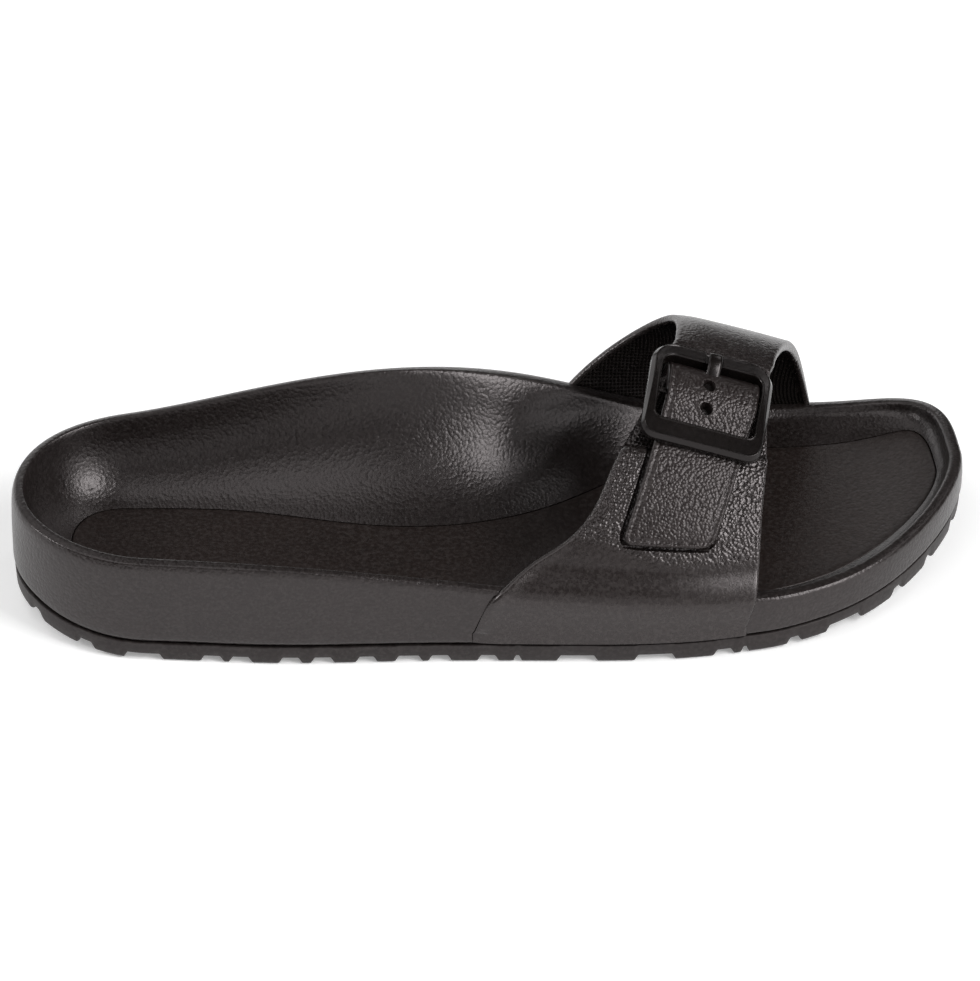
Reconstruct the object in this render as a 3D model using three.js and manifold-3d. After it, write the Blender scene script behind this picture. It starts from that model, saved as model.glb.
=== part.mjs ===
import * as THREE from 'three';
import { mergeVertices } from 'three/addons/utils/BufferGeometryUtils.js';
import Module from 'manifold-3d';

// One-strap slide sandal, right shoe, in mm: heel back at x = 0, toe along +x, medial side at +y,
// ground at z = 0. The outer group then centres it on its own bounding box.

// Driving sizes.
const LENGTH = 260;
const BALL_WIDTH = 95;
const HEEL_RADIUS = 33;
const HEEL_RIM = 34;
const TOE_DRIFT = 11.9;
const TOE_SPRING = 6.8;
const TOE_SPRING_LENGTH = 78;
const HEEL_BEVEL = 5.3;
const HEEL_BEVEL_LENGTH = 36.4;
const JOINT_HEIGHT = 6.3;
const TOE_ROUND = {
  lateral: { length: 61, power: 1.68 },
  medial: { length: 32.5, power: 3.55 },
};
const GAP = 0.3;

// plan of the wall, height of its rim and of the floor, inset of the floor's crease:
// widths as shares of BALL_WIDTH, heights of HEEL_RIM, wall thickness and crease in shares of BALL_WIDTH
const STATIONS = [
  { at: 0.00, lateral: 0.332, medial: 0.372, rimLateral: 1.000, rimMedial: 1.000, floor: 0.456,
    creaseLateral: 0.165, creaseMedial: 0.165, wallLateral: 0.042, wallMedial: 0.042 },
  { at: 0.12, lateral: 0.355, medial: 0.354, rimLateral: 0.932, rimMedial: 1.047, floor: 0.421,
    creaseLateral: 0.140, creaseMedial: 0.168, wallLateral: 0.042, wallMedial: 0.042 },
  { at: 0.25, lateral: 0.412, medial: 0.353, rimLateral: 0.912, rimMedial: 1.212, floor: 0.421,
    creaseLateral: 0.128, creaseMedial: 0.218, wallLateral: 0.036, wallMedial: 0.042 },
  { at: 0.40, lateral: 0.445, medial: 0.358, rimLateral: 0.785, rimMedial: 1.338, floor: 0.406,
    creaseLateral: 0.122, creaseMedial: 0.335, wallLateral: 0.032, wallMedial: 0.046 },
  { at: 0.55, lateral: 0.486, medial: 0.416, rimLateral: 0.641, rimMedial: 1.091, floor: 0.371,
    creaseLateral: 0.124, creaseMedial: 0.312, wallLateral: 0.037, wallMedial: 0.062 },
  { at: 0.70, lateral: 0.507, medial: 0.487, rimLateral: 0.550, rimMedial: 0.612, floor: 0.347,
    creaseLateral: 0.124, creaseMedial: 0.165, wallLateral: 0.052, wallMedial: 0.064 },
  { at: 0.80, lateral: 0.485, medial: 0.509, rimLateral: 0.515, rimMedial: 0.494, floor: 0.347,
    creaseLateral: 0.118, creaseMedial: 0.166, wallLateral: 0.047, wallMedial: 0.052 },
  { at: 0.90, lateral: 0.488, medial: 0.481, rimLateral: 0.562, rimMedial: 0.518, floor: 0.376,
    creaseLateral: 0.112, creaseMedial: 0.148, wallLateral: 0.042, wallMedial: 0.042 },
  { at: 1.00, lateral: 0.445, medial: 0.459, rimLateral: 0.635, rimMedial: 0.635, floor: 0.465,
    creaseLateral: 0.072, creaseMedial: 0.072, wallLateral: 0.042, wallMedial: 0.042 },
];

// arch support: how far the medial wall swells into the cup half-way down, in shares of
// BALL_WIDTH, and how far it leans back from the rim to the floor
const ARCH_SLANT = 20;
const ARCH_SWELL = [
  { at: 0.25, swell: 0.000 },
  { at: 0.36, swell: 0.012 },
  { at: 0.46, swell: 0.036 },
  { at: 0.52, swell: 0.034 },
  { at: 0.58, swell: 0.003 },
  { at: 0.64, swell: 0.022 },
  { at: 0.71, swell: 0.016 },
  { at: 0.80, swell: 0.000 },
];

// outside of the wall from the joint up to the crest: height as a share of the wall, inset as a
// share of WALL_ROUND
const WALL_ROUND = 2.2;
const WALL_PROFILE = [
  { up: 0.00, inset: 0.45 },
  { up: 0.06, inset: 0.00 },
  { up: 0.55, inset: 0.00 },
  { up: 0.82, inset: 0.18 },
  { up: 0.94, inset: 0.50 },
  { up: 1.00, inset: 1.00 },
];
const CREST_ROUND = 0.7;
const CUP_STEPS = 5;
const CUP_ANGLE = THREE.MathUtils.degToRad(66);
const INSOLE_THICKNESS = 2.2;

// side of the outsole below the joint: height as a share of JOINT_HEIGHT, inset of TREAD_ROUND
const TREAD_ROUND = 1.5;
const TREAD_PROFILE = [
  { up: 0.00, inset: 0.87 },
  { up: 0.16, inset: 0.42 },
  { up: 0.84, inset: 0.27 },
  { up: 0.955, inset: 0.67 },
];
// depth of the grooves, deeper by END_DEPTH where the tread lifts most, and the lean of their flanks
const TREAD_DEPTH = 1.8;
const END_DEPTH = 0.9;
const FLANK_LEAN = 0.55;
// grooves across the tread: middle and width as shares of LENGTH
const GROOVES = [
  { at: 0.018, width: 0.009 },
  { at: 0.066, width: 0.015 },
  { at: 0.125, width: 0.037 },
  { at: 0.195, width: 0.020 },
  { at: 0.224, width: 0.020 },
  { at: 0.275, width: 0.020 },
  { at: 0.308, width: 0.020 },
  { at: 0.353, width: 0.018 },
  { at: 0.396, width: 0.024 },
  { at: 0.428, width: 0.020 },
  { at: 0.477, width: 0.018 },
  { at: 0.507, width: 0.006 },
  { at: 0.568, width: 0.038 },
  { at: 0.648, width: 0.039 },
  { at: 0.720, width: 0.018 },
  { at: 0.742, width: 0.006 },
  { at: 0.795, width: 0.013 },
  { at: 0.850, width: 0.037 },
  { at: 0.912, width: 0.012 },
  { at: 0.951, width: 0.009 },
  { at: 0.984, width: 0.006 },
];

// Upper.
const STRAP_THICKNESS = 3;
const STRAP_BEVEL = 0.8;
// how far the flaps stand out of the wall at their roots and at the joint, and how high about its
// rim the lateral flap leaves the wall
const ROOT_PROUD = 0.9;
const FOOT_PROUD = { rear: 0.1, front: 0.6 };
const WALL_LEAVE = { below: 3.5, over: 7 };
const ARCH = {
  rear: { x: 125, height: 82, apex: 23, lateralPower: 1.5, medialPower: 2.97 },
  front: { x: 222, height: 52.7, apex: 2, lateralPower: 1.6, medialPower: 2.01 },
  lateralRoot: 10,
  medialRoot: 15.2,
};
// edges of the band: turn runs from -1 at the lateral root over the top to +1 at the medial root,
// rear and front as shares of LENGTH
const BAND = [
  { turn: -1.00, rear: 0.460, front: 0.743 },
  { turn: -0.90, rear: 0.470, front: 0.749 },
  { turn: -0.80, rear: 0.495, front: 0.755 },
  { turn: -0.70, rear: 0.555, front: 0.759 },
  { turn: -0.60, rear: 0.592, front: 0.763 },
  { turn: -0.50, rear: 0.613, front: 0.769 },
  { turn: -0.40, rear: 0.637, front: 0.775 },
  { turn: -0.15, rear: 0.681, front: 0.785 },
  { turn: 0.20, rear: 0.702, front: 0.811 },
  { turn: 0.60, rear: 0.668, front: 0.840 },
  { turn: 1.00, rear: 0.559, front: 0.859 },
];
// the lateral flap is thinner under the buckle
const NECK = { from: -0.505, to: -0.075, ramp: 0.04, depth: 1.4 };

// the medial flap through the buckle and its tail over the lateral flap: height of its top above
// the flap as a share of TAIL_RISE, middle of LENGTH, width of TAIL_WIDTH
const TAIL_WIDTH = 24;
const TAIL_RISE = 4.8;
const TAIL_BEVEL = 0.9;
const TAIL_CORNER = 3.2;
const TAIL_ROOT = 2;
const TAIL = [
  { turn: -0.690, rise: 0.46, middle: 0.661, width: 1.00 },
  { turn: -0.560, rise: 0.46, middle: 0.682, width: 1.00 },
  { turn: -0.430, rise: 0.46, middle: 0.701, width: 0.98 },
  { turn: -0.385, rise: 0.48, middle: 0.708, width: 0.96 },
  { turn: -0.345, rise: 0.69, middle: 0.713, width: 0.95 },
  { turn: -0.305, rise: 0.92, middle: 0.718, width: 0.95 },
  { turn: -0.265, rise: 1.00, middle: 0.721, width: 0.95 },
  { turn: -0.225, rise: 0.92, middle: 0.724, width: 0.95 },
  { turn: -0.195, rise: 0.54, middle: 0.726, width: 0.95 },
  { turn: -0.170, rise: 0.04, middle: 0.728, width: 0.95 },
  { turn: -0.110, rise: -0.06, middle: 0.731, width: 0.95 },
];
// punched holes: distance from the tail's middle as a share of TAIL_WIDTH
const HOLE_DIAMETER = 2.8;
const HOLE_DEPTH = 1.5;
const HOLES = [
  { turn: -0.257, aside: -0.058 },
  { turn: -0.324, aside: -0.046 },
];

// Buckle.
const FRAME_WIDTH = 33.5;
const FRAME_HEIGHT = 31.5;
const FRAME_CORNER = { top: 7.2, bottom: 4.3 };
const WINDOW_CORNER = { top: 3.6, bottom: 2.2 };
const FRAME_BEND = 70;
const FRAME_THICKNESS = 3.4;
const FRAME_BEVEL = 1;
const SIDE_BAR = 3;
const TOP_BAR = 5;
const BOTTOM_BAR = 6.2;
const PIN_RADIUS = 0.8;
const PIN_RISE = -1.3;
const FRAME_SEAT = { top: { turn: -0.066, rise: 4.0 }, bottom: { turn: -0.466, rise: 7.1 } };
const NOTCH_DEPTH = 0.8;
const PRONG = { width: 3.8, thickness: 1.7, bevel: 0.45, taper: 0.72, tip: 13.4, wrap: 1.75 };
const PRONG_CLEARANCE = 0.25;
// the prong from the pin to the notch of the top bar: distance up the strap as a share of its tip,
// height as a share of the way from the pin to the notch
const PRONG_PATH = [
  { along: 0.09, rise: 0.09 },
  { along: 0.34, rise: 0.21 },
  { along: 0.60, rise: 0.70 },
  { along: 0.78, rise: 1.00 },
  { along: 1.00, rise: 1.00 },
];

const FOAM = new THREE.MeshStandardMaterial({ color: 0x3a3838, roughness: 0.6, metalness: 0 });
const TREAD_FOAM = new THREE.MeshStandardMaterial({ color: 0x2e2d2d, roughness: 0.75, metalness: 0 });
const FLOOR_FOAM = new THREE.MeshStandardMaterial({ color: 0x2c2725, roughness: 0.8, metalness: 0 });
const BUCKLE_PLASTIC = new THREE.MeshStandardMaterial({ color: 0x2a2a2b, roughness: 0.45, metalness: 0 });

const { lerp, clamp, smoothstep } = THREE.MathUtils;

// Tables and curves.
function spline(rows, key, column) {
  const n = rows.length;
  const x = rows.map((row) => row[key]);
  const y = rows.map((row) => row[column]);
  const bend = new Array(n).fill(0);
  const work = new Array(n).fill(0);
  for (let i = 1; i < n - 1; i += 1) {
    const before = x[i] - x[i - 1];
    const after = x[i + 1] - x[i];
    const slope = (y[i + 1] - y[i]) / after - (y[i] - y[i - 1]) / before;
    const pivot = 2 * (before + after) - before * work[i - 1];
    work[i] = after / pivot;
    bend[i] = (6 * slope - before * bend[i - 1]) / pivot;
  }
  for (let i = n - 2; i > 0; i -= 1) bend[i] -= work[i] * bend[i + 1];
  return (at) => {
    const t = clamp(at, x[0], x[n - 1]);
    let i = 0;
    while (i < n - 2 && t > x[i + 1]) i += 1;
    const step = x[i + 1] - x[i];
    const a = (x[i + 1] - t) / step;
    const b = 1 - a;
    const curl = ((a ** 3 - a) * bend[i] + (b ** 3 - b) * bend[i + 1]) * (step * step) / 6;
    return a * y[i] + b * y[i + 1] + curl;
  };
}

const station = Object.fromEntries(
  Object.keys(STATIONS[0]).slice(1).map((column) => [column, spline(STATIONS, 'at', column)]),
);
const share = (column, x) => station[column](x / LENGTH);
const halfWidth = (side, x) => side * BALL_WIDTH * share(side > 0 ? 'medial' : 'lateral', x);
const rimHeight = (side, x) => HEEL_RIM * share(side > 0 ? 'rimMedial' : 'rimLateral', x);
const creaseInset = (side, x) => BALL_WIDTH * share(side > 0 ? 'creaseMedial' : 'creaseLateral', x);
const swelling = spline(ARCH_SWELL, 'at', 'swell');
const floorHeight = (x) => HEEL_RIM * share('floor', x);
const wallThickness = (side, x) => BALL_WIDTH * share(side > 0 ? 'wallMedial' : 'wallLateral', x);

function archSwell(side, x, down) {
  if (side < 0) return 0;
  const swell = swelling((x + ARCH_SLANT * (down - 0.5)) / LENGTH);
  return BALL_WIDTH * swell * Math.max(Math.sin(Math.PI * down), 0) ** 0.7;
}

function lift(x) {
  const toe = clamp((x - LENGTH + TOE_SPRING_LENGTH) / TOE_SPRING_LENGTH, 0, 1);
  const heel = clamp((HEEL_BEVEL_LENGTH - x) / HEEL_BEVEL_LENGTH, 0, 1);
  return TOE_SPRING * toe ** 2 + HEEL_BEVEL * heel ** 2;
}
const jointHeight = (x) => JOINT_HEIGHT + lift(x);

function fullness(side, x) {
  const toe = side > 0 ? TOE_ROUND.medial : TOE_ROUND.lateral;
  const heel = clamp(1 - x / HEEL_RADIUS, 0, 1);
  const front = clamp((x - LENGTH + toe.length) / toe.length, 0, 1);
  return Math.sqrt(1 - heel ** 2) * (1 - front ** toe.power) ** (1 / toe.power);
}

// the outline as a loop: heel tip, medial side to the toe tip, lateral side back
function outlineLoop(half) {
  const loop = [];
  for (let i = 0; i < 2 * half; i += 1) {
    const side = i <= half ? 1 : -1;
    const along = i <= half ? i : 2 * half - i;
    const x = LENGTH * (1 - Math.cos((Math.PI * along) / half)) / 2;
    const spine = TOE_DRIFT * (x / LENGTH);
    loop.push({ x, side, y: spine + (halfWidth(side, x) - spine) * fullness(side, x) });
  }
  loop.forEach((point, i) => {
    const next = loop[(i + 1) % loop.length];
    const last = loop[(i + loop.length - 1) % loop.length];
    const span = Math.hypot(next.x - last.x, next.y - last.y);
    point.outX = -(next.y - last.y) / span;
    point.outY = (next.x - last.x) / span;
  });
  return loop;
}

const ring = (loop, inset, height) => loop.map((p) => {
  const d = inset(p);
  return new THREE.Vector3(p.x - p.outX * d, p.y - p.outY * d, height(p));
});

// Solids.
function solid(points, faces) {
  const geometry = new THREE.BufferGeometry().setFromPoints(points);
  geometry.setIndex(faces);
  return geometry;
}

// rings stacked from the underside up and inwards, closed by a ladder of rungs at both ends
function stack(rings, rungs) {
  const count = rings[0].length;
  const half = count / 2;
  const points = rings.flat();
  const faces = [];
  for (let r = 0; r < rings.length - 1; r += 1) {
    for (let i = 0; i < count; i += 1) {
      const a = r * count + i;
      const b = r * count + ((i + 1) % count);
      faces.push(a, a + count, b, b, a + count, b + count);
    }
  }
  const cap = (start, flip) => {
    const rows = [];
    for (let i = 1; i < half; i += 1) {
      const row = [start + i];
      for (let k = 1; k < rungs; k += 1) {
        points.push(points[start + i].clone().lerp(points[start + count - i], k / rungs));
        row.push(points.length - 1);
      }
      row.push(start + count - i);
      rows.push(row);
    }
    const add = (a, b, c) => (flip ? faces.push(a, c, b) : faces.push(a, b, c));
    for (let k = 0; k < rungs; k += 1) {
      add(start, rows[0][k + 1], rows[0][k]);
      for (let i = 0; i < rows.length - 1; i += 1) {
        add(rows[i][k], rows[i][k + 1], rows[i + 1][k]);
        add(rows[i + 1][k], rows[i][k + 1], rows[i + 1][k + 1]);
      }
      add(start + half, rows[rows.length - 1][k], rows[rows.length - 1][k + 1]);
    }
  };
  cap(0, true);
  cap((rings.length - 1) * count, false);
  return solid(points, faces);
}

// closed cross-sections in a row, with a flat fan over the first and the last
function tube(sections) {
  const count = sections[0].length;
  const points = sections.flat();
  const faces = [];
  for (let r = 0; r < sections.length - 1; r += 1) {
    for (let i = 0; i < count; i += 1) {
      const a = r * count + i;
      const b = r * count + ((i + 1) % count);
      faces.push(a, b, a + count, b, b + count, a + count);
    }
  }
  const ends = [{ start: 0, flip: true }, { start: (sections.length - 1) * count, flip: false }];
  for (const { start, flip } of ends) {
    for (let i = 0; i < count / 2 - 1; i += 1) {
      const a = start + i;
      const b = start + i + 1;
      const c = start + count - 1 - i;
      const d = start + count - 2 - i;
      if (flip) faces.push(a, c, b, b, c, d);
      else faces.push(a, b, c, b, d, c);
    }
  }
  return solid(points, faces);
}

const wasm = await Module();
wasm.setup();

function toManifold(geometry) {
  const bare = geometry.clone();
  bare.deleteAttribute('normal');
  bare.deleteAttribute('uv');
  const merged = mergeVertices(bare, 1e-4);
  return new wasm.Manifold(new wasm.Mesh({
    numProp: 3,
    vertProperties: new Float32Array(merged.attributes.position.array),
    triVerts: new Uint32Array(merged.index.array),
  }));
}

function toGeometry(manifold) {
  const mesh = manifold.getMesh();
  const geometry = new THREE.BufferGeometry();
  geometry.setAttribute('position', new THREE.BufferAttribute(mesh.vertProperties, 3));
  geometry.setIndex(new THREE.BufferAttribute(mesh.triVerts, 1));
  return geometry;
}

const join = (...geometries) => toGeometry(
  geometries.map(toManifold).reduce((sum, item) => sum.add(item)),
);
const cut = (geometry, ...cutters) => toGeometry(
  cutters.map(toManifold).reduce((left, item) => left.subtract(item), toManifold(geometry)),
);

// The arch of the last under the strap, and the band on it.
function archPoint(x, turn) {
  const side = turn < 0 ? -1 : 1;
  const along = clamp((x - ARCH.rear.x) / (ARCH.front.x - ARCH.rear.x), -0.2, 1.2);
  const at = (key) => lerp(ARCH.rear[key], ARCH.front[key], along);
  const apex = at('apex');
  const power = at(side < 0 ? 'lateralPower' : 'medialPower');
  const shoulder = side < 0 ? ARCH.lateralRoot : ARCH.medialRoot;
  const angle = Math.min(Math.abs(turn), 1) * Math.PI / 2;
  const down = Math.max(Math.abs(turn) - 1, 0);
  const root = lerp(shoulder, jointHeight(x) + GAP, Math.min(down, 1));
  const foot = lerp(FOOT_PROUD.rear, FOOT_PROUD.front, clamp(along, 0, 1));
  const proud = lerp(ROOT_PROUD, foot, Math.min(down, 1));
  const arched = apex + (halfWidth(side, x) + side * proud - apex) * Math.sin(angle) ** (2 / power);
  const rise = (at('height') - shoulder) * Math.max(Math.cos(angle), 0) ** (2 / power);
  const height = root + rise - Math.max(down - 1, 0) * shoulder;
  if (side > 0) return new THREE.Vector3(x, arched, height);
  const rim = rimHeight(side, x);
  const wall = halfWidth(side, x) - lerp(foot, ROOT_PROUD, smoothstep(height, shoulder, rim));
  const leave = smoothstep(height, rim - WALL_LEAVE.below, rim + WALL_LEAVE.over);
  return new THREE.Vector3(x, lerp(wall, arched, leave), height);
}

function archNormal(x, turn) {
  const step = 0.004;
  const across = archPoint(x, turn + step).sub(archPoint(x, turn - step));
  const forward = archPoint(x + 0.5, turn).sub(archPoint(x - 0.5, turn));
  return forward.cross(across).normalize();
}

const above = (x, turn, rise) => archPoint(x, turn).addScaledVector(archNormal(x, turn), rise);
const bandRear = spline(BAND, 'turn', 'rear');
const bandFront = spline(BAND, 'turn', 'front');

function neckDepth(turn) {
  const enter = smoothstep(turn, NECK.from, NECK.from + NECK.ramp);
  const leave = smoothstep(turn, NECK.to - NECK.ramp, NECK.to);
  return NECK.depth * (enter - leave);
}

// the band between its two roots; grown outwards and inwards it is also the cutter of its seat
function band({ turns, columns, outside, inside, spread }) {
  return tube(turns.map((turn) => {
    const rear = LENGTH * bandRear(turn) - spread;
    const front = LENGTH * bandFront(turn) + spread;
    const top = outside > 0 ? outside : -neckDepth(turn);
    const at = (x, rise) => above(x, turn, rise);
    const outer = [];
    const inner = [];
    for (let i = 0; i <= columns; i += 1) {
      const x = lerp(rear + STRAP_BEVEL, front - STRAP_BEVEL, i / columns);
      outer.push(at(x, top));
      inner.unshift(at(x, -inside));
    }
    return [at(rear, top - STRAP_BEVEL), ...outer, at(front, top - STRAP_BEVEL),
      at(front, STRAP_BEVEL - inside), ...inner, at(rear, STRAP_BEVEL - inside)];
  }));
}

function bandTurns(steps, sunk) {
  const turns = [...sunk.map((turn) => -turn), -2, -1.5];
  for (let i = 0; i <= steps; i += 1) turns.push(lerp(-1, 1, i / steps));
  turns.push(1.5, 2, ...sunk);
  const bends = [NECK.from, NECK.from + NECK.ramp, NECK.to - NECK.ramp, NECK.to];
  const free = turns.filter((turn) => bends.every((bend) => Math.abs(bend - turn) > 0.012));
  return [...free, ...bends].sort((first, second) => first - second);
}

const tailShare = spline(TAIL, 'turn', 'rise');
const tailRise = (turn) => TAIL_RISE * tailShare(turn);
const tailMiddle = spline(TAIL, 'turn', 'middle');
const tailWidth = spline(TAIL, 'turn', 'width');
const tailEnd = TAIL[0].turn;
const tailTop = TAIL[TAIL.length - 1].turn;
const tailX = (turn) => LENGTH * tailMiddle(turn);

function tail(steps, columns) {
  const edge = tailX(tailEnd);
  const turnLength = archPoint(edge, tailEnd).distanceTo(archPoint(edge, tailEnd + 0.02)) / 0.02;
  const rows = [];
  for (let i = 0; i <= steps; i += 1) rows.push(lerp(tailTop, tailEnd, i / steps));
  rows.push(tailEnd + 0.35 * TAIL_CORNER / turnLength, tailEnd + 0.75 * TAIL_CORNER / turnLength);
  rows.sort((a, b) => a - b);
  return tube(rows.map((turn) => {
    const fromEnd = Math.max(0, turn - tailEnd) * turnLength;
    const round = Math.max(0, 1 - fromEnd / TAIL_CORNER);
    const half = TAIL_WIDTH * tailWidth(turn) / 2 - TAIL_CORNER * (1 - Math.sqrt(1 - round ** 2));
    const top = tailRise(turn) - TAIL_BEVEL * Math.max(0, 1 - fromEnd / TAIL_BEVEL);
    const at = (out, rise) => above(tailX(turn) + out, turn, rise);
    const outer = [];
    const inner = [];
    for (let k = 0; k <= columns; k += 1) {
      const out = lerp(-half + TAIL_BEVEL, half - TAIL_BEVEL, k / columns);
      outer.push(at(out, top));
      inner.unshift(at(out, -TAIL_ROOT));
    }
    return [at(-half, top - TAIL_BEVEL), ...outer, at(half, top - TAIL_BEVEL), at(half, -TAIL_ROOT),
      ...inner, at(-half, -TAIL_ROOT)];
  }));
}

// Buckle, drawn flat: x across the strap, y up the strap, z away from the foot.
function buckleFrame() {
  const seat = (spot) => above(tailX(spot.turn), spot.turn, spot.rise);
  const top = seat(FRAME_SEAT.top);
  const bottom = seat(FRAME_SEAT.bottom);
  const middle = top.clone().add(bottom).multiplyScalar(0.5);
  const midTurn = (FRAME_SEAT.top.turn + FRAME_SEAT.bottom.turn) / 2;
  const up = top.clone().sub(bottom).normalize();
  const forward = archPoint(tailX(midTurn) + 8, midTurn).sub(archPoint(tailX(midTurn) - 8, midTurn));
  const away = forward.clone().cross(up).normalize();
  const across = up.clone().cross(away).normalize();
  return new THREE.Matrix4().makeBasis(across, up, away).setPosition(middle);
}

function roundedRectangle(path, left, right, low, high, corner, grow) {
  const rungs = 5;
  const top = corner.top + grow;
  const bottom = corner.bottom + grow;
  path.moveTo(left + bottom, low);
  path.lineTo(right - bottom, low);
  path.absarc(right - bottom, low + bottom, bottom, -Math.PI / 2, 0, false);
  for (let i = 1; i <= rungs; i += 1) {
    path.lineTo(right, lerp(low + bottom, high - top, i / rungs));
  }
  path.absarc(right - top, high - top, top, 0, Math.PI / 2, false);
  path.lineTo(left + top, high);
  path.absarc(left + top, high - top, top, Math.PI / 2, Math.PI, false);
  for (let i = 1; i <= rungs; i += 1) {
    path.lineTo(left, lerp(high - top, low + bottom, i / rungs));
  }
  path.absarc(left + bottom, low + bottom, bottom, Math.PI, 1.5 * Math.PI, false);
  return path;
}

// bent over the strap, so that the bars follow the arch
function bend(geometry) {
  const spots = geometry.attributes.position;
  for (let i = 0; i < spots.count; i += 1) {
    const angle = spots.getY(i) / FRAME_BEND;
    const reach = FRAME_BEND + spots.getZ(i);
    spots.setY(i, reach * Math.sin(angle));
    spots.setZ(i, reach * Math.cos(angle) - FRAME_BEND);
  }
  return geometry;
}

function flatFrame() {
  const halfWide = FRAME_WIDTH / 2;
  const halfHigh = FRAME_HEIGHT / 2;
  const b = FRAME_BEVEL;
  const shape = roundedRectangle(
    new THREE.Shape(), b - halfWide, halfWide - b, b - halfHigh, halfHigh - b, FRAME_CORNER, -b,
  );
  shape.holes.push(roundedRectangle(
    new THREE.Path(), SIDE_BAR - b - halfWide, halfWide - SIDE_BAR + b,
    BOTTOM_BAR - b - halfHigh, halfHigh - TOP_BAR + b, WINDOW_CORNER, b,
  ));
  const ringBar = new THREE.ExtrudeGeometry(shape, {
    depth: FRAME_THICKNESS - 2 * b, curveSegments: 6, bevelThickness: b, bevelSize: b, bevelSegments: 2,
  }).translate(0, 0, b - FRAME_THICKNESS / 2);
  const notch = new THREE.BoxGeometry(PRONG.width + 2 * GAP, TOP_BAR * 2, 2 * NOTCH_DEPTH)
    .translate(0, halfHigh, FRAME_THICKNESS / 2);
  return bend(cut(join(ringBar, alongPin(PIN_RADIUS, FRAME_WIDTH - SIDE_BAR)), notch));
}

const alongPin = (radius, length) => new THREE.CylinderGeometry(radius, radius, length, 20)
  .rotateZ(Math.PI / 2).translate(0, 0, PIN_RISE);

// side view of the prong swept across its width; grown by the clearance it cuts its own seat
function flatProng(grow) {
  const half = PRONG.thickness / 2 + grow;
  const wide = PRONG.width / 2 + grow;
  const rest = FRAME_THICKNESS / 2 - NOTCH_DEPTH + GAP + PRONG.thickness / 2;
  const path = new THREE.CatmullRomCurve3(PRONG_PATH.map(({ along, rise }) => new THREE.Vector3(
    0, along * (PRONG.tip + grow), lerp(PIN_RISE, rest, rise),
  )));
  const steps = 12;
  const rows = [];
  for (let i = 0; i <= steps; i += 1) {
    const point = path.getPoint(i / steps);
    const lean = path.getTangent(i / steps);
    const over = new THREE.Vector3(0, -lean.z, lean.y);
    const slim = i === steps ? PRONG.taper : 1;
    const at = (out, rise) => point.clone().addScaledVector(over, rise).setX(out * slim);
    const low = half - PRONG.bevel;
    const near = wide - PRONG.bevel;
    rows.push([
      at(-wide, -low), at(-wide, low), at(-near, half), at(near, half),
      at(wide, low), at(wide, -low), at(near, -half), at(-near, -half),
    ]);
  }
  const whole = join(tube(rows), alongPin(PRONG.wrap + grow, 2 * wide));
  return grow > 0 ? whole : cut(whole, alongPin(PIN_RADIUS + PRONG_CLEARANCE, 4 * wide));
}

// Pieces.
function makeFootbed() {
  const loop = outlineLoop(46);
  const rim = (p) => rimHeight(p.side, p.x);
  const rings = WALL_PROFILE.map(({ up, inset }) => ring(
    loop, () => inset * WALL_ROUND, (p) => lerp(jointHeight(p.x), rim(p), up),
  ));
  const crestInner = (p) => wallThickness(p.side, p.x) - CREST_ROUND;
  rings.push(ring(loop, crestInner, rim));
  const cupTop = (p) => rim(p) - CREST_ROUND;
  for (let k = 0; k <= CUP_STEPS; k += 1) {
    const angle = CUP_ANGLE * (k / CUP_STEPS);
    const out = (1 - Math.cos(angle)) / (1 - Math.cos(CUP_ANGLE));
    const down = Math.sin(angle) / Math.sin(CUP_ANGLE);
    rings.push(ring(
      loop,
      (p) => lerp(wallThickness(p.side, p.x), creaseInset(p.side, p.x), out) + archSwell(p.side, p.x, down),
      (p) => lerp(cupTop(p), floorHeight(p.x), down),
    ));
  }
  rings.push(ring(loop, (p) => creaseInset(p.side, p.x), (p) => floorHeight(p.x) - INSOLE_THICKNESS - GAP));
  const body = stack(rings, 4);
  const seat = band({
    turns: bandTurns(40, [2.3]), columns: 8, outside: 9, inside: STRAP_THICKNESS + GAP, spread: 3 * GAP,
  });
  return cut(body, seat);
}

function makeInsole() {
  const loop = outlineLoop(36);
  const edge = (p) => creaseInset(p.side, p.x) + GAP;
  return stack([
    ring(loop, edge, (p) => floorHeight(p.x) - INSOLE_THICKNESS),
    ring(loop, edge, (p) => floorHeight(p.x)),
  ], 4);
}

function makeOutsole() {
  const loop = outlineLoop(40);
  const slab = stack(TREAD_PROFILE.map(({ up, inset }) => ring(
    loop, () => inset * TREAD_ROUND, (p) => lift(p.x) + up * JOINT_HEIGHT,
  )), 4);
  const cutters = GROOVES.map(({ at, width }) => {
    const x = at * LENGTH;
    const slope = Math.atan((lift(x + 1) - lift(x - 1)) / 2);
    const depth = TREAD_DEPTH + END_DEPTH * lift(x) / TOE_SPRING;
    const half = width * LENGTH / 2;
    const lean = Math.min(FLANK_LEAN, half / 2);
    const flanks = new THREE.Shape([
      new THREE.Vector2(-half - 3 * lean, -depth), new THREE.Vector2(half + 3 * lean, -depth),
      new THREE.Vector2(half - lean, depth), new THREE.Vector2(lean - half, depth),
    ]);
    return new THREE.ExtrudeGeometry(flanks, { depth: 2 * BALL_WIDTH, bevelEnabled: false })
      .rotateX(Math.PI / 2).translate(0, BALL_WIDTH, 0).rotateY(-slope).translate(x, 0, lift(x));
  });
  return cut(slab, ...cutters);
}

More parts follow.
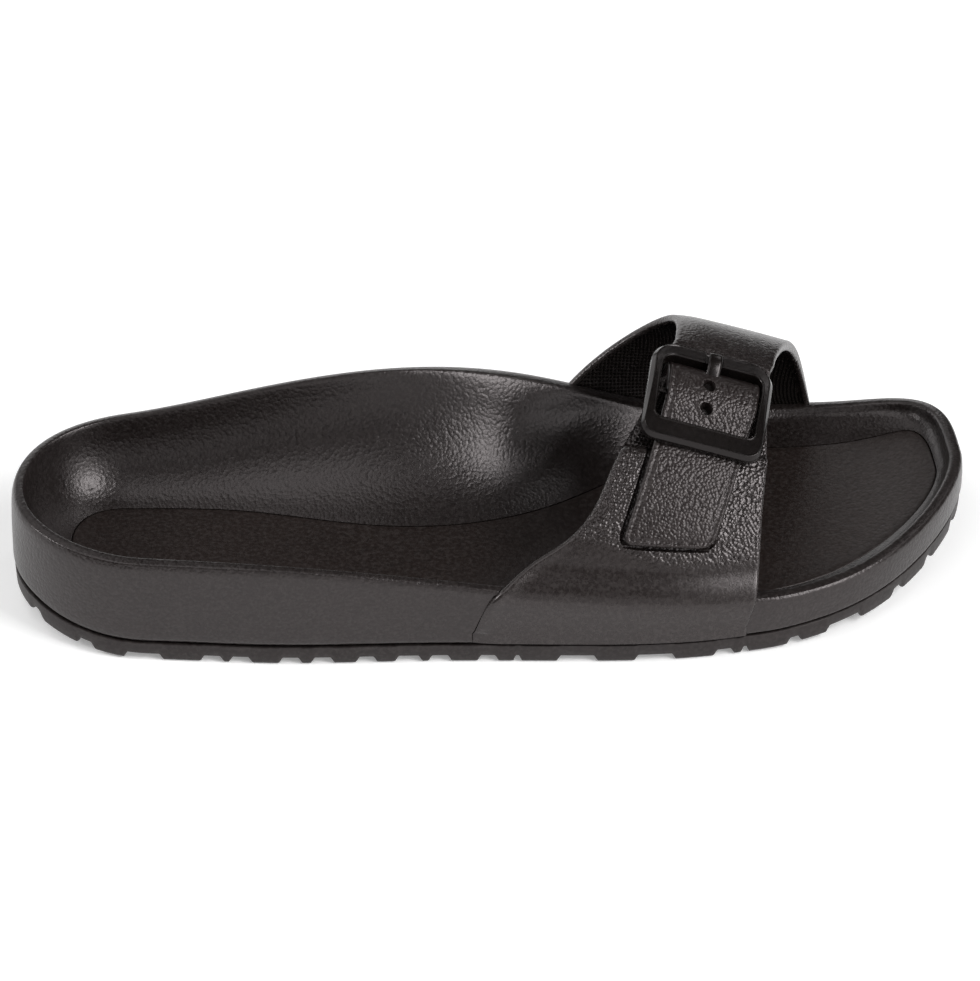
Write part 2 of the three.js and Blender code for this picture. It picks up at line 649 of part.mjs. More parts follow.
function makeUpper(place) {
  const strap = band({
    turns: bandTurns(40, []), columns: 8, outside: 0, inside: STRAP_THICKNESS, spread: 0,
  });
  const punches = HOLES.map(({ turn, aside }) => {
    const x = tailX(turn) + aside * TAIL_WIDTH;
    const spot = above(x, turn, tailRise(turn));
    const turned = new THREE.Quaternion().setFromUnitVectors(
      new THREE.Vector3(0, 1, 0), archNormal(x, turn),
    );
    return new THREE.CylinderGeometry(HOLE_DIAMETER / 2, HOLE_DIAMETER / 2, 2 * HOLE_DEPTH, 14)
      .applyQuaternion(turned).translate(spot.x, spot.y, spot.z);
  });
  const tunnel = alongPin(PIN_RADIUS + GAP, FRAME_WIDTH - SIDE_BAR).applyMatrix4(place);
  const slot = flatProng(GAP).applyMatrix4(place);
  return cut(join(strap, tail(26, 6)), tunnel, slot, ...punches);
}

function mesh(name, geometry, material) {
  const piece = new THREE.Mesh(geometry, material);
  piece.name = name;
  return piece;
}

const place = buckleFrame();
const shoe = new THREE.Group();
shoe.name = 'slide_body';
shoe.add(
  mesh('outsole', makeOutsole(), TREAD_FOAM),
  mesh('footbed', makeFootbed(), FOAM),
  mesh('insole', makeInsole(), FLOOR_FOAM),
  mesh('upper', makeUpper(place), FOAM),
  mesh('buckle_frame', flatFrame().applyMatrix4(place), BUCKLE_PLASTIC),
  mesh('buckle_prong', flatProng(0).applyMatrix4(place), BUCKLE_PLASTIC),
);

const bounds = new THREE.Box3().setFromObject(shoe);
const centre = bounds.getCenter(new THREE.Vector3());
shoe.position.set(-centre.x, -centre.y, -bounds.min.z);

const slide = new THREE.Group();
slide.name = 'slide';
slide.add(shoe);
export default slide;
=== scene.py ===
"""Looks of a one-strap slide sandal, right shoe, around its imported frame.

Shapes are worked out in mm with the heel at x = 0, toe along +x, medial side at +y and the ground
at z = 0, then placed in the row frame in metres.
"""

import math

import bmesh
import bpy
import numpy as np
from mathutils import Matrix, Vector


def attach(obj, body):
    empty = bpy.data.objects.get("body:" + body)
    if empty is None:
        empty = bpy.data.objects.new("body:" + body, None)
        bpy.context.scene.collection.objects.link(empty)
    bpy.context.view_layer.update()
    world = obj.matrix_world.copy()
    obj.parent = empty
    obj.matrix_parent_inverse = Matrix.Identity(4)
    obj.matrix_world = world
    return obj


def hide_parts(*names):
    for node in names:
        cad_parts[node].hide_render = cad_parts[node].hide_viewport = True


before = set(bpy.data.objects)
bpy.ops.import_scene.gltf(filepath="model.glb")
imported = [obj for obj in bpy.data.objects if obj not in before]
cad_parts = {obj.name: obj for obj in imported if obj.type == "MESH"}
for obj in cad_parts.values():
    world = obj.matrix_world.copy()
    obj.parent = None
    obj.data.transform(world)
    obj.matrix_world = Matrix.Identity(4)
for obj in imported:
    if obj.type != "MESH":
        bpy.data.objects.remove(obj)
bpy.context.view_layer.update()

MM = 0.001
LENGTH = 260.0
BALL_WIDTH = 95.0
HEEL_RADIUS = 33.0
HEEL_RIM = 34.0
TOE_DRIFT = 11.9
TOE_SPRING, TOE_SPRING_LENGTH = 6.8, 78.0
HEEL_BEVEL, HEEL_BEVEL_LENGTH = 5.3, 36.4
JOINT_HEIGHT = 6.3
TOE_ROUND = {"lateral": (61.0, 1.68), "medial": (32.5, 3.55)}
GAP = 0.3
ROW_SHIFT = 0.11

# Camera.
AZIMUTH, ELEVATION, DISTANCE = -5.865, 34.836, 1848.9
FOCAL_PIXELS = 6839.0
IMAGE_WIDTH, IMAGE_HEIGHT = 980, 981
LOOK_AT = (130.0, 0.0, 20.8)
AIM_RIGHT, AIM_UP = -0.94, 3.75


def row(points):
    """Points in mm in the shoe's own frame as metres in the row frame."""
    return (np.asarray(points, float) - (LENGTH / 2, ROW_SHIFT, 0.0)) * MM


def camera():
    a, e = math.radians(AZIMUTH), math.radians(ELEVATION)
    back = Vector((math.sin(a) * math.cos(e), -math.cos(a) * math.cos(e), math.sin(e)))
    right = Vector((math.cos(a), math.sin(a), 0.0))
    up = back.cross(right)
    data = bpy.data.cameras.new("camera")
    data.sensor_width = 36.0
    data.lens = FOCAL_PIXELS * data.sensor_width / max(IMAGE_WIDTH, IMAGE_HEIGHT)
    data.clip_start, data.clip_end = 0.05, 50.0
    cam = bpy.data.objects.new("camera", data)
    bpy.context.scene.collection.objects.link(cam)
    target = Vector(row(LOOK_AT)) + (right * AIM_RIGHT + up * AIM_UP) * MM
    cam.location = target + back * DISTANCE * MM
    cam.rotation_mode = "QUATERNION"
    cam.rotation_quaternion = (-back).to_track_quat("-Z", "Y")
    bpy.context.scene.camera = cam


camera()


# Shader helper.
class Socket:
    """A value socket; an operator adds the Math node for it."""

    def __init__(self, shade, socket):
        self.shade, self.socket = shade, socket

    def _math(self, operation, *values):
        return self.shade.node("ShaderNodeMath", {"operation": operation}, dict(enumerate(values)))

    def __add__(self, other):
        return self._math("ADD", self, other)

    def __sub__(self, other):
        return self._math("SUBTRACT", self, other)

    def __rsub__(self, other):
        return self._math("SUBTRACT", other, self)

    def __mul__(self, other):
        return self._math("MULTIPLY", self, other)

    def __pow__(self, other):
        return self._math("POWER", self, other)

    __radd__ = __add__
    __rmul__ = __mul__

    def ramp(self, start, end, low=0.0, high=1.0):
        """Smooth step from low at start to high at end."""
        return self.shade.node(
            "ShaderNodeMapRange",
            {"interpolation_type": "SMOOTHSTEP"},
            {"Value": self, "From Min": start, "From Max": end, "To Min": low, "To Max": high},
        )


class Shade:
    """One material and its nodes."""

    def __init__(self, name):
        self.material = bpy.data.materials.new(name)
        self.material.use_nodes = True
        self.tree = self.material.node_tree
        self.tree.nodes.clear()
        self.spot = self.node("ShaderNodeTexCoord", out="Object")

    def node(self, kind, settings=None, inputs=None, out=0):
        item = self.tree.nodes.new(kind)
        for key, value in (settings or {}).items():
            setattr(item, key, value)
        for key, value in (inputs or {}).items():
            if isinstance(value, Socket):
                self.tree.links.new(value.socket, item.inputs[key])
            else:
                item.inputs[key].default_value = value
        return Socket(self, item.outputs[out])

    def axis(self, name):
        return self.node("ShaderNodeSeparateXYZ", inputs={0: self.spot}, out=name)

    def noise(self, size, detail, roughness=0.55):
        """Noise whose blotches are about size metres across, from 0 to 1."""
        return self.node(
            "ShaderNodeTexNoise",
            inputs={"Vector": self.spot, "Scale": 0.5 / size, "Detail": detail, "Roughness": roughness},
        )

    def pebbles(self, size, wobble):
        """Rounded cells about size metres across, 0 in their creases and 1 on top."""
        shift = self.node(
            "ShaderNodeTexNoise",
            inputs={"Vector": self.spot, "Scale": 0.6 / size, "Detail": 2.0},
            out="Color",
        )
        place = self.node(
            "ShaderNodeVectorMath",
            {"operation": "MULTIPLY_ADD"},
            {0: shift, 1: (wobble,) * 3, 2: self.spot},
        )
        away = self.node(
            "ShaderNodeTexVoronoi",
            {"feature": "SMOOTH_F1"},
            {"Vector": place, "Scale": 1.0 / size, "Smoothness": 0.35},
        )
        return 1.0 - (away * 1.25) ** 2

    def mix(self, factor, first, second):
        return self.node(
            "ShaderNodeMix", {"data_type": "RGBA"}, {0: factor, 6: first, 7: second}, out=2,
        )

    def bump(self, height, depth, under=None):
        inputs = {"Height": height, "Distance": depth, "Strength": 1.0}
        if under:
            inputs["Normal"] = under
        return self.node("ShaderNodeBump", inputs=inputs)

    def finish(self, **sockets):
        names = {
            "color": "Base Color", "roughness": "Roughness", "normal": "Normal",
            "specular": "Specular IOR Level", "tint": "Specular Tint",
            "glow": "Emission Color", "glow_strength": "Emission Strength",
        }
        surface = self.node(
            "ShaderNodeBsdfPrincipled", inputs={names[k]: v for k, v in sockets.items()},
        )
        output = self.tree.nodes.new("ShaderNodeOutputMaterial")
        self.tree.links.new(surface.socket, output.inputs["Surface"])
        return self.material


def rgb(red, green, blue):
    """Display colour from 0 to 255 as the linear colour a socket holds."""
    def one(value):
        value /= 255.0
        return value / 12.92 if value <= 0.04045 else ((value + 0.055) / 1.055) ** 2.4
    return (one(red), one(green), one(blue), 1.0)


# Tables and curves.
STATIONS = [
    dict(at=0.00, lateral=0.332, medial=0.372, rim_lateral=1.000, rim_medial=1.000, floor=0.456,
         crease_lateral=0.165, crease_medial=0.165, wall_lateral=0.042, wall_medial=0.042),
    dict(at=0.12, lateral=0.355, medial=0.354, rim_lateral=0.932, rim_medial=1.047, floor=0.421,
         crease_lateral=0.140, crease_medial=0.168, wall_lateral=0.042, wall_medial=0.042),
    dict(at=0.25, lateral=0.412, medial=0.353, rim_lateral=0.912, rim_medial=1.212, floor=0.421,
         crease_lateral=0.128, crease_medial=0.218, wall_lateral=0.036, wall_medial=0.042),
    dict(at=0.40, lateral=0.445, medial=0.358, rim_lateral=0.785, rim_medial=1.338, floor=0.406,
         crease_lateral=0.122, crease_medial=0.335, wall_lateral=0.032, wall_medial=0.046),
    dict(at=0.55, lateral=0.486, medial=0.416, rim_lateral=0.641, rim_medial=1.091, floor=0.371,
         crease_lateral=0.124, crease_medial=0.312, wall_lateral=0.037, wall_medial=0.062),
    dict(at=0.70, lateral=0.507, medial=0.487, rim_lateral=0.550, rim_medial=0.612, floor=0.347,
         crease_lateral=0.124, crease_medial=0.165, wall_lateral=0.052, wall_medial=0.064),
    dict(at=0.80, lateral=0.485, medial=0.509, rim_lateral=0.515, rim_medial=0.494, floor=0.347,
         crease_lateral=0.118, crease_medial=0.166, wall_lateral=0.047, wall_medial=0.052),
    dict(at=0.90, lateral=0.488, medial=0.481, rim_lateral=0.562, rim_medial=0.518, floor=0.376,
         crease_lateral=0.112, crease_medial=0.148, wall_lateral=0.042, wall_medial=0.042),
    dict(at=1.00, lateral=0.445, medial=0.459, rim_lateral=0.635, rim_medial=0.635, floor=0.465,
         crease_lateral=0.072, crease_medial=0.072, wall_lateral=0.042, wall_medial=0.042),
]
GROOVES = [
    dict(at=0.018, width=0.009), dict(at=0.066, width=0.015), dict(at=0.125, width=0.037),
    dict(at=0.195, width=0.020),
    dict(at=0.224, width=0.020), dict(at=0.275, width=0.020), dict(at=0.308, width=0.020),
    dict(at=0.353, width=0.018), dict(at=0.396, width=0.024), dict(at=0.428, width=0.020),
    dict(at=0.477, width=0.018), dict(at=0.507, width=0.006), dict(at=0.568, width=0.038),
    dict(at=0.648, width=0.039), dict(at=0.720, width=0.018), dict(at=0.742, width=0.006),
    dict(at=0.795, width=0.013), dict(at=0.850, width=0.037), dict(at=0.912, width=0.012),
    dict(at=0.951, width=0.009), dict(at=0.984, width=0.006),
]
ARCH_SLANT = 20.0
ARCH_SWELL = [
    dict(at=0.25, swell=0.000), dict(at=0.36, swell=0.012), dict(at=0.46, swell=0.036),
    dict(at=0.52, swell=0.034), dict(at=0.58, swell=0.003), dict(at=0.64, swell=0.022),
    dict(at=0.71, swell=0.016), dict(at=0.80, swell=0.000),
]
STRAP_THICKNESS, ROOT_PROUD = 3.0, 0.9
FOOT_PROUD = dict(rear=0.1, front=0.6)
WALL_LEAVE = dict(below=3.5, over=7.0)
LATERAL_ROOT, MEDIAL_ROOT = 10.0, 15.2
ARCH_X = (125.0, 222.0)
ARCH = dict(height=(82.0, 52.7), apex=(23.0, 2.0), lateral=(1.5, 1.6), medial=(2.97, 2.01))
BAND = [
    dict(turn=-1.00, rear=0.460, front=0.743), dict(turn=-0.90, rear=0.470, front=0.749),
    dict(turn=-0.80, rear=0.495, front=0.755), dict(turn=-0.70, rear=0.555, front=0.759),
    dict(turn=-0.60, rear=0.592, front=0.763), dict(turn=-0.50, rear=0.613, front=0.769),
    dict(turn=-0.40, rear=0.637, front=0.775), dict(turn=-0.15, rear=0.681, front=0.785),
    dict(turn=0.20, rear=0.702, front=0.811), dict(turn=0.60, rear=0.668, front=0.840),
    dict(turn=1.00, rear=0.559, front=0.859),
]
NECK = dict(start=-0.460, slant=0.033, end=-0.075, ramp=0.022, depth=2.2)
TAIL_WIDTH, TAIL_RISE, TAIL_CORNER = 24.0, 4.8, 3.2
TAIL = [
    dict(turn=-0.690, rise=0.46, middle=0.661, width=1.00),
    dict(turn=-0.560, rise=0.46, middle=0.682, width=1.00),
    dict(turn=-0.430, rise=0.46, middle=0.701, width=0.98),
    dict(turn=-0.385, rise=0.48, middle=0.707, width=0.98),
    dict(turn=-0.345, rise=0.69, middle=0.712, width=0.99),
    dict(turn=-0.305, rise=0.92, middle=0.717, width=0.99),
    dict(turn=-0.265, rise=1.00, middle=0.720, width=0.99),
    dict(turn=-0.225, rise=0.92, middle=0.723, width=0.99),
    dict(turn=-0.195, rise=0.54, middle=0.725, width=0.99),
    dict(turn=-0.170, rise=0.04, middle=0.727, width=0.99),
    dict(turn=-0.110, rise=-0.06, middle=0.730, width=0.99),
]
HOLE_RADIUS, HOLE_DEPTH = 1.4, 3.4
HOLES = [dict(turn=-0.257, aside=-0.058), dict(turn=-0.324, aside=-0.046)]


def spline(rows, key, column):
    """Natural cubic curve through a table's column, as a function of its key column."""
    x = np.array([r[key] for r in rows])
    y = np.array([r[column] for r in rows])
    n, step = len(x), np.diff(x)
    system, right = np.eye(n), np.zeros(n)
    for i in range(1, n - 1):
        system[i, i - 1:i + 2] = step[i - 1], 2 * (step[i - 1] + step[i]), step[i]
        right[i] = 6 * ((y[i + 1] - y[i]) / step[i] - (y[i] - y[i - 1]) / step[i - 1])
    bend = np.linalg.solve(system, right)

    def at(value):
        t = np.clip(value, x[0], x[-1])
        i = np.clip(np.searchsorted(x, t) - 1, 0, n - 2)
        a = (x[i + 1] - t) / step[i]
        b = 1 - a
        curl = ((a ** 3 - a) * bend[i] + (b ** 3 - b) * bend[i + 1]) * step[i] ** 2 / 6
        return a * y[i] + b * y[i + 1] + curl

    return at


station = {k: spline(STATIONS, "at", k) for k in STATIONS[0] if k != "at"}
swelling = spline(ARCH_SWELL, "at", "swell")
band_rear, band_front = (spline(BAND, "turn", k) for k in ("rear", "front"))
tail_rise, tail_middle, tail_width = (spline(TAIL, "turn", k) for k in ("rise", "middle", "width"))


def share(column, x):
    return station[column](np.asarray(x) / LENGTH)


def sided(column, side, x):
    """A column that has a lateral and a medial curve, each for its side."""
    return np.where(side > 0, share(column + "medial", x), share(column + "lateral", x))


def half_width(side, x):
    return side * BALL_WIDTH * sided("", side, x)


def rim_height(side, x):
    return HEEL_RIM * sided("rim_", side, x)


def crease_inset(side, x):
    return BALL_WIDTH * sided("crease_", side, x)


def floor_height(x):
    return HEEL_RIM * share("floor", x)


def wall_thickness(side, x):
    return BALL_WIDTH * sided("wall_", side, x)


def lift(x):
    """How far the sole rises from the ground at the toe and at the heel."""
    toe = np.clip((x - LENGTH + TOE_SPRING_LENGTH) / TOE_SPRING_LENGTH, 0, 1)
    heel = np.clip((HEEL_BEVEL_LENGTH - x) / HEEL_BEVEL_LENGTH, 0, 1)
    return TOE_SPRING * toe ** 2 + HEEL_BEVEL * heel ** 2


def smooth(value, start, end):
    t = np.clip((value - start) / np.subtract(end, start), 0, 1)
    return t * t * (3 - 2 * t)


class Outline:
    """The shoe's outline from the heel tip along the medial side to the toe tip and back."""

    def __init__(self, stations):
        ahead = np.asarray(stations, float)
        self.x = np.concatenate([ahead, ahead[-2:0:-1]])
        self.side = np.concatenate([np.ones(len(ahead)), -np.ones(len(ahead) - 2)])
        self.half = len(ahead) - 1
        power = np.where(self.side > 0, TOE_ROUND["medial"][1], TOE_ROUND["lateral"][1])
        reach = np.where(self.side > 0, TOE_ROUND["medial"][0], TOE_ROUND["lateral"][0])
        heel = np.clip(1 - self.x / HEEL_RADIUS, 0, 1)
        front = np.clip((self.x - LENGTH + reach) / reach, 0, 1)
        full = np.sqrt(1 - heel ** 2) * (1 - front ** power) ** (1 / power)
        spine = TOE_DRIFT * self.x / LENGTH
        self.y = spine + (half_width(self.side, self.x) - spine) * full
        across = np.roll(self.x, -1) - np.roll(self.x, 1)
        along = np.roll(self.y, -1) - np.roll(self.y, 1)
        span = np.hypot(across, along)
        self.out = np.stack([-along / span, across / span], 1)

    def ring(self, inset, height):
        flat = np.stack([self.x, self.y], 1) - self.out * np.broadcast_to(inset, self.x.shape)[:, None]
        return np.column_stack([flat, np.broadcast_to(height, self.x.shape)])


def cosine_stations(count):
    return LENGTH * (1 - np.cos(np.pi * np.arange(count + 1) / count)) / 2


def refine(rings, parts, ends=(0, 0)):
    """Rings between the given ones, on a smooth curve through each point's rings.

    ends: how many segments at the start and at the end stay straight.
    """
    rings = np.asarray(rings)
    last = len(rings) - 1
    made = []
    for i in range(last):
        a, b = rings[i], rings[i + 1]
        if i < ends[0] or i >= last - ends[1]:
            made.append(a)
            continue
        before = rings[i - 1] if i > ends[0] else 2 * a - b
        after = rings[i + 2] if i + 1 < last - ends[1] else 2 * b - a
        for k in range(parts):
            t = k / parts
            made.append(0.5 * (2 * a + (b - before) * t
                               + (2 * before - 5 * a + 4 * b - after) * t ** 2
                               + (3 * a - before - 3 * b + after) * t ** 3))
    made.append(rings[last])
    return np.array(made)


# Meshes.
SMOOTH_ANGLE = 40


def build(name, points, faces, material, smooth_angle=SMOOTH_ANGLE):
    """A piece from points in mm, with its faces turned outwards."""
    mesh = bpy.data.meshes.new(name)
    mesh.from_pydata(row(points).tolist(), [], faces)
    mesh.validate()
    shell = bmesh.new()
    shell.from_mesh(mesh)
    bmesh.ops.recalc_face_normals(shell, faces=shell.faces)
    shell.to_mesh(mesh)
    shell.free()
    mesh.materials.append(material)
    mesh.shade_smooth()
    piece = bpy.data.objects.new(name, mesh)
    bpy.context.scene.collection.objects.link(piece)
    mesh.set_sharp_from_angle(angle=math.radians(smooth_angle))
    return piece


def grid_faces(rows, columns, closed=True):
    faces = []
    for r in range(rows - 1):
        for c in range(columns if closed else columns - 1):
            a, b = r * columns + c, r * columns + (c + 1) % columns
            faces.append((a, b, b + columns, a + columns))
    return faces


def stacked(rings, half, rungs):
    """Rings stacked upwards and inwards, closed by a ladder of rungs at both ends."""
    count = rings.shape[1]
    points = [rings.reshape(-1, 3)]
    faces = grid_faces(len(rings), count)
    total = rings.shape[0] * count
    for start, ring, upper in ((0, rings[0], False), ((len(rings) - 1) * count, rings[-1], True)):
        rows = []
        for i in range(1, half):
            a, b = ring[i], ring[count - i]
            t = (np.arange(1, rungs) / rungs)[:, None]
            points.append(a * (1 - t) + b * t)
            rows.append([start + i, *range(total, total + rungs - 1), start + count - i])
            total += rungs - 1
        caps = []
        for k in range(rungs):
            caps.append((start, rows[0][k + 1], rows[0][k]))
            caps.append((start + half, rows[-1][k], rows[-1][k + 1]))
        for low, high in zip(rows, rows[1:]):
            caps.extend((low[k], low[k + 1], high[k + 1], high[k]) for k in range(rungs))
        faces += caps if upper else [f[::-1] for f in caps]
    return np.concatenate(points), faces


def tube(sections):
    """Closed cross-sections in a row, with a flat cap over the first and the last."""
    sections = np.asarray(sections)
    rows, count = sections.shape[:2]
    faces = grid_faces(rows, count)
    last = (rows - 1) * count
    faces.append(tuple(range(count - 1, -1, -1)))
    faces.append(tuple(range(last, last + count)))
    return sections.reshape(-1, 3), faces


# Sole.
WALL_PROFILE = [
    dict(up=0.000, inset=1.00), dict(up=0.025, inset=0.42), dict(up=0.080, inset=0.04),
    dict(up=0.300, inset=0.00), dict(up=0.550, inset=0.00), dict(up=0.860, inset=0.22),
    dict(up=0.950, inset=0.62), dict(up=0.985, inset=1.15),
]
JOINT_INSET, CREST_INSET = 3.0, 2.2
CREST_ROUND, CREST_CROWN = 0.7, 0.25
CUP_STEPS, CUP_ANGLE = 9, math.radians(66)
INSOLE_THICKNESS, INSOLE_EDGE, INSOLE_GAP = 2.2, 0.5, 0.12
SEAT_SPREAD, SEAT_REACH = -0.15, 9.0
TREAD_PROFILE = [
    dict(up=0.000, inset=1.85), dict(up=0.025, inset=1.35), dict(up=0.080, inset=0.95),
    dict(up=0.180, inset=0.66), dict(up=0.500, inset=0.52), dict(up=0.800, inset=0.40),
    dict(up=0.865, inset=0.42), dict(up=0.895, inset=0.62), dict(up=0.905, inset=1.00),
    dict(up=0.915, inset=1.80),
]
TREAD_DEPTH, END_DEPTH, FLANK_LEAN = 1.8, 0.9, 0.55
FLANK_STEPS = (-1.25, -1, -0.6, 0, 0.6, 1, 1.25)
HEEL_GAP, HEEL_GAP_LENGTH = 0.9, 9.0


def arch_swell(side, x, down):
    """How far the medial wall swells into the cup, down being the share of the way to the floor."""
    swell = BALL_WIDTH * swelling((x + ARCH_SLANT * (down - 0.5)) / LENGTH)
    return np.where(side > 0, swell, 0) * math.sin(math.pi * down) ** 0.7


def make_footbed(material):
    """The cup: outer wall, crest, and inner wall down to the crease round the insole."""
    edge = Outline(cosine_stations(150))
    x, side = edge.x, edge.side
    joint = JOINT_HEIGHT + lift(x) + HEEL_GAP * np.exp(-(x / HEEL_GAP_LENGTH) ** 2)
    rim = rim_height(side, x)
    rings = [edge.ring(JOINT_INSET, joint)]
    rings += [edge.ring(p["inset"], joint + (rim - joint) * p["up"]) for p in WALL_PROFILE]
    thick = wall_thickness(side, x)
    rings.append(edge.ring((CREST_INSET + thick - CREST_ROUND) / 2, rim + CREST_CROWN / 2))
    rings.append(edge.ring(thick - CREST_ROUND / 2, rim - CREST_ROUND / 2))
    crease = crease_inset(side, x)
    for k in range(1, CUP_STEPS + 1):
        angle = CUP_ANGLE * k / CUP_STEPS
        out = (1 - math.cos(angle)) / (1 - math.cos(CUP_ANGLE))
        down = math.sin(angle) / math.sin(CUP_ANGLE)
        top = rim - CREST_ROUND
        rings.append(edge.ring(
            thick + (crease - thick) * out + arch_swell(side, x, down),
            top + (floor_height(x) - top) * down,
        ))
    rings.append(edge.ring(crease, floor_height(x) - INSOLE_THICKNESS - GAP))
    points, faces = stacked(refine(rings, 4, ends=(1, 1)), edge.half, 4)
    return carve(build("footbed_cup", points, faces, material), strap_seat(material))


def strap_seat(material):
    """The band grown outwards and inwards, which leaves its seat in the walls."""
    turns = np.concatenate([[-2.3, -2, -1.5], np.linspace(-1, 1, 90), [1.5, 2, 2.3]])[:, None]
    t = np.linspace(0, 1, 40)
    rear = LENGTH * band_rear(turns) - SEAT_SPREAD
    front = LENGTH * band_front(turns) + SEAT_SPREAD
    x = rear + (front - rear) * t
    rise = np.concatenate([np.full_like(x, SEAT_REACH), np.full_like(x, GAP - STRAP_THICKNESS)], 1)
    points, faces = tube(above(np.concatenate([x, x[:, ::-1]], 1), turns, rise))
    return build("strap_seat", points, faces, material)


def carve(piece, cutter):
    """The piece less the cutter, baked to a plain mesh."""
    modifier = piece.modifiers.new("seat", "BOOLEAN")
    modifier.operation, modifier.solver, modifier.object = "DIFFERENCE", "EXACT", cutter
    depsgraph = bpy.context.evaluated_depsgraph_get()
    made = bpy.data.meshes.new_from_object(piece.evaluated_get(depsgraph))
    piece.modifiers.remove(modifier)
    piece.data = made
    bpy.data.objects.remove(cutter)
    made.shade_smooth()
    made.set_sharp_from_angle(angle=math.radians(SMOOTH_ANGLE))
    return piece


def make_insole(material):
    edge = Outline(cosine_stations(130))
    x = edge.x
    side = crease_inset(edge.side, x) + INSOLE_GAP
    top = floor_height(x)
    rings = [edge.ring(side, top - INSOLE_THICKNESS), edge.ring(side, top - INSOLE_EDGE)]
    for k in range(1, 5):
        angle = math.pi / 2 * k / 4
        rings.append(edge.ring(
            side + INSOLE_EDGE * (1 - math.cos(angle)), top - INSOLE_EDGE * (1 - math.sin(angle)),
        ))
    points, faces = stacked(np.array(rings), edge.half, 24)
    return build("insole_sheet", points, faces, material)


def make_outsole(material):
    """The tread slab, cut by grooves from side to side."""
    flanks = []
    for g in GROOVES:
        lean = min(FLANK_LEAN, g["width"] * LENGTH / 4)
        flanks += [(LENGTH * (g["at"] + end * g["width"] / 2), lean) for end in (-1, 1)]
    spots = [at + lean * k for at, lean in flanks for k in FLANK_STEPS]
    base = [s for s in cosine_stations(110) if min(abs(s - spot) for spot in spots) > 0.3]
    edge = Outline(np.unique(np.concatenate([base, spots]).round(3)))
    x = edge.x
    groove = np.zeros_like(x)
    for (start, lean), (end, _) in zip(flanks[::2], flanks[1::2]):
        reach = FLANK_STEPS[-1] * lean
        groove = np.maximum(groove, smooth(x, start - reach, start + reach)
                            * (1 - smooth(x, end - reach, end + reach)))
    low = lift(x) + (TREAD_DEPTH + END_DEPTH * lift(x) / TOE_SPRING) * groove
    high = lift(x) + JOINT_HEIGHT
    rings = [edge.ring(p["inset"], low + (high - low) * p["up"]) for p in TREAD_PROFILE]
    points, faces = stacked(np.array(rings), edge.half, 6)
    return build("outsole_tread", points, faces, material)


# Upper.
def arch_point(x, turn):
    """The last's arch under the strap: turn runs from -1, lateral root, to +1, medial root."""
    x, turn = np.broadcast_arrays(np.asarray(x, float), np.asarray(turn, float))
    side = np.where(turn < 0, -1.0, 1.0)
    along = np.clip((x - ARCH_X[0]) / (ARCH_X[1] - ARCH_X[0]), -0.2, 1.2)
    height, apex, lateral, medial = (a + (b - a) * along for a, b in ARCH.values())
    power = np.where(side < 0, lateral, medial)
    shoulder = np.where(side < 0, LATERAL_ROOT, MEDIAL_ROOT)
    angle = np.minimum(abs(turn), 1) * math.pi / 2
    down = np.clip(abs(turn) - 1, 0, 1)
    root = shoulder + (JOINT_HEIGHT + lift(x) + GAP - shoulder) * down
    foot = FOOT_PROUD["rear"] + (FOOT_PROUD["front"] - FOOT_PROUD["rear"]) * np.clip(along, 0, 1)
    proud = ROOT_PROUD + (foot - ROOT_PROUD) * down
    arched = apex + (half_width(side, x) + side * proud - apex) * np.sin(angle) ** (2 / power)
    z = root + (height - shoulder) * np.maximum(np.cos(angle), 0) ** (2 / power)
    z = z - np.maximum(abs(turn) - 2, 0) * shoulder
    rim = rim_height(side, x)
    wall = half_width(side, x) - foot - (ROOT_PROUD - foot) * smooth(z, shoulder, rim)
    leave = smooth(z, rim - WALL_LEAVE["below"], rim + WALL_LEAVE["over"])
    out = np.where(side > 0, arched, wall + (arched - wall) * leave)
    return np.stack([x, out, z], -1)


def arch_normal(x, turn):
    across = arch_point(x, turn + 0.004) - arch_point(x, turn - 0.004)
    forward = arch_point(x + 0.5, turn) - arch_point(x - 0.5, turn)
    away = np.cross(forward, across)
    return away / np.linalg.norm(away, axis=-1, keepdims=True)


def above(x, turn, rise):
    x, turn, rise = np.broadcast_arrays(np.asarray(x, float), turn, rise)
    return arch_point(x, turn) + arch_normal(x, turn) * rise[..., None]


def neck_depth(x, turn):
    """Depth of the step that the flap has under the buckle; it starts higher towards the front."""
    ramp = NECK["ramp"]
    rear, front = LENGTH * band_rear(turn), LENGTH * band_front(turn)
    start = NECK["start"] + NECK["slant"] * np.clip((x - rear) / (front - rear), 0, 1)
    enter = smooth(turn, start, start + ramp)
    return NECK["depth"] * (enter - smooth(turn, NECK["end"] - ramp, NECK["end"]))


def turn_length(x, turn):
    """Length along the strap in mm for one unit of turn."""
    return np.linalg.norm(arch_point(x, turn + 0.01) - arch_point(x, turn - 0.01), axis=-1) / 0.02


EDGE_STEPS, STRAP_EDGE = 7, 0.95
LINING_RIM, LINING_SINK = 1.6, 0.7
SHOULDER_DROP, SHOULDER_REACH = 0.8, 8.0
RIDGE, RIDGE_REACH, RIM_EDGE = 1.2, 6.0, 1.7
SOFT_ROOT = 0.06
RIM_TURNS = dict(start=-1.05, full=-0.93, leave=-0.80, end=-0.62)
GROOVE_DEPTH, GROOVE_FLOOR, GROOVE_REACH = 1.1, 0.55, 1.25
FRONT_SIDE = dict(across=1.5, along=3.0)
UNDER_FRAME = (-0.45, -0.39)
LINING_STEP, LINING_SPOTS = 0.2, np.array([-0.25, -0.1, 0.1, 0.25])
TAIL_END = TAIL[0]["turn"]
END_LENGTH = turn_length(LENGTH * tail_middle(TAIL_END), TAIL_END)


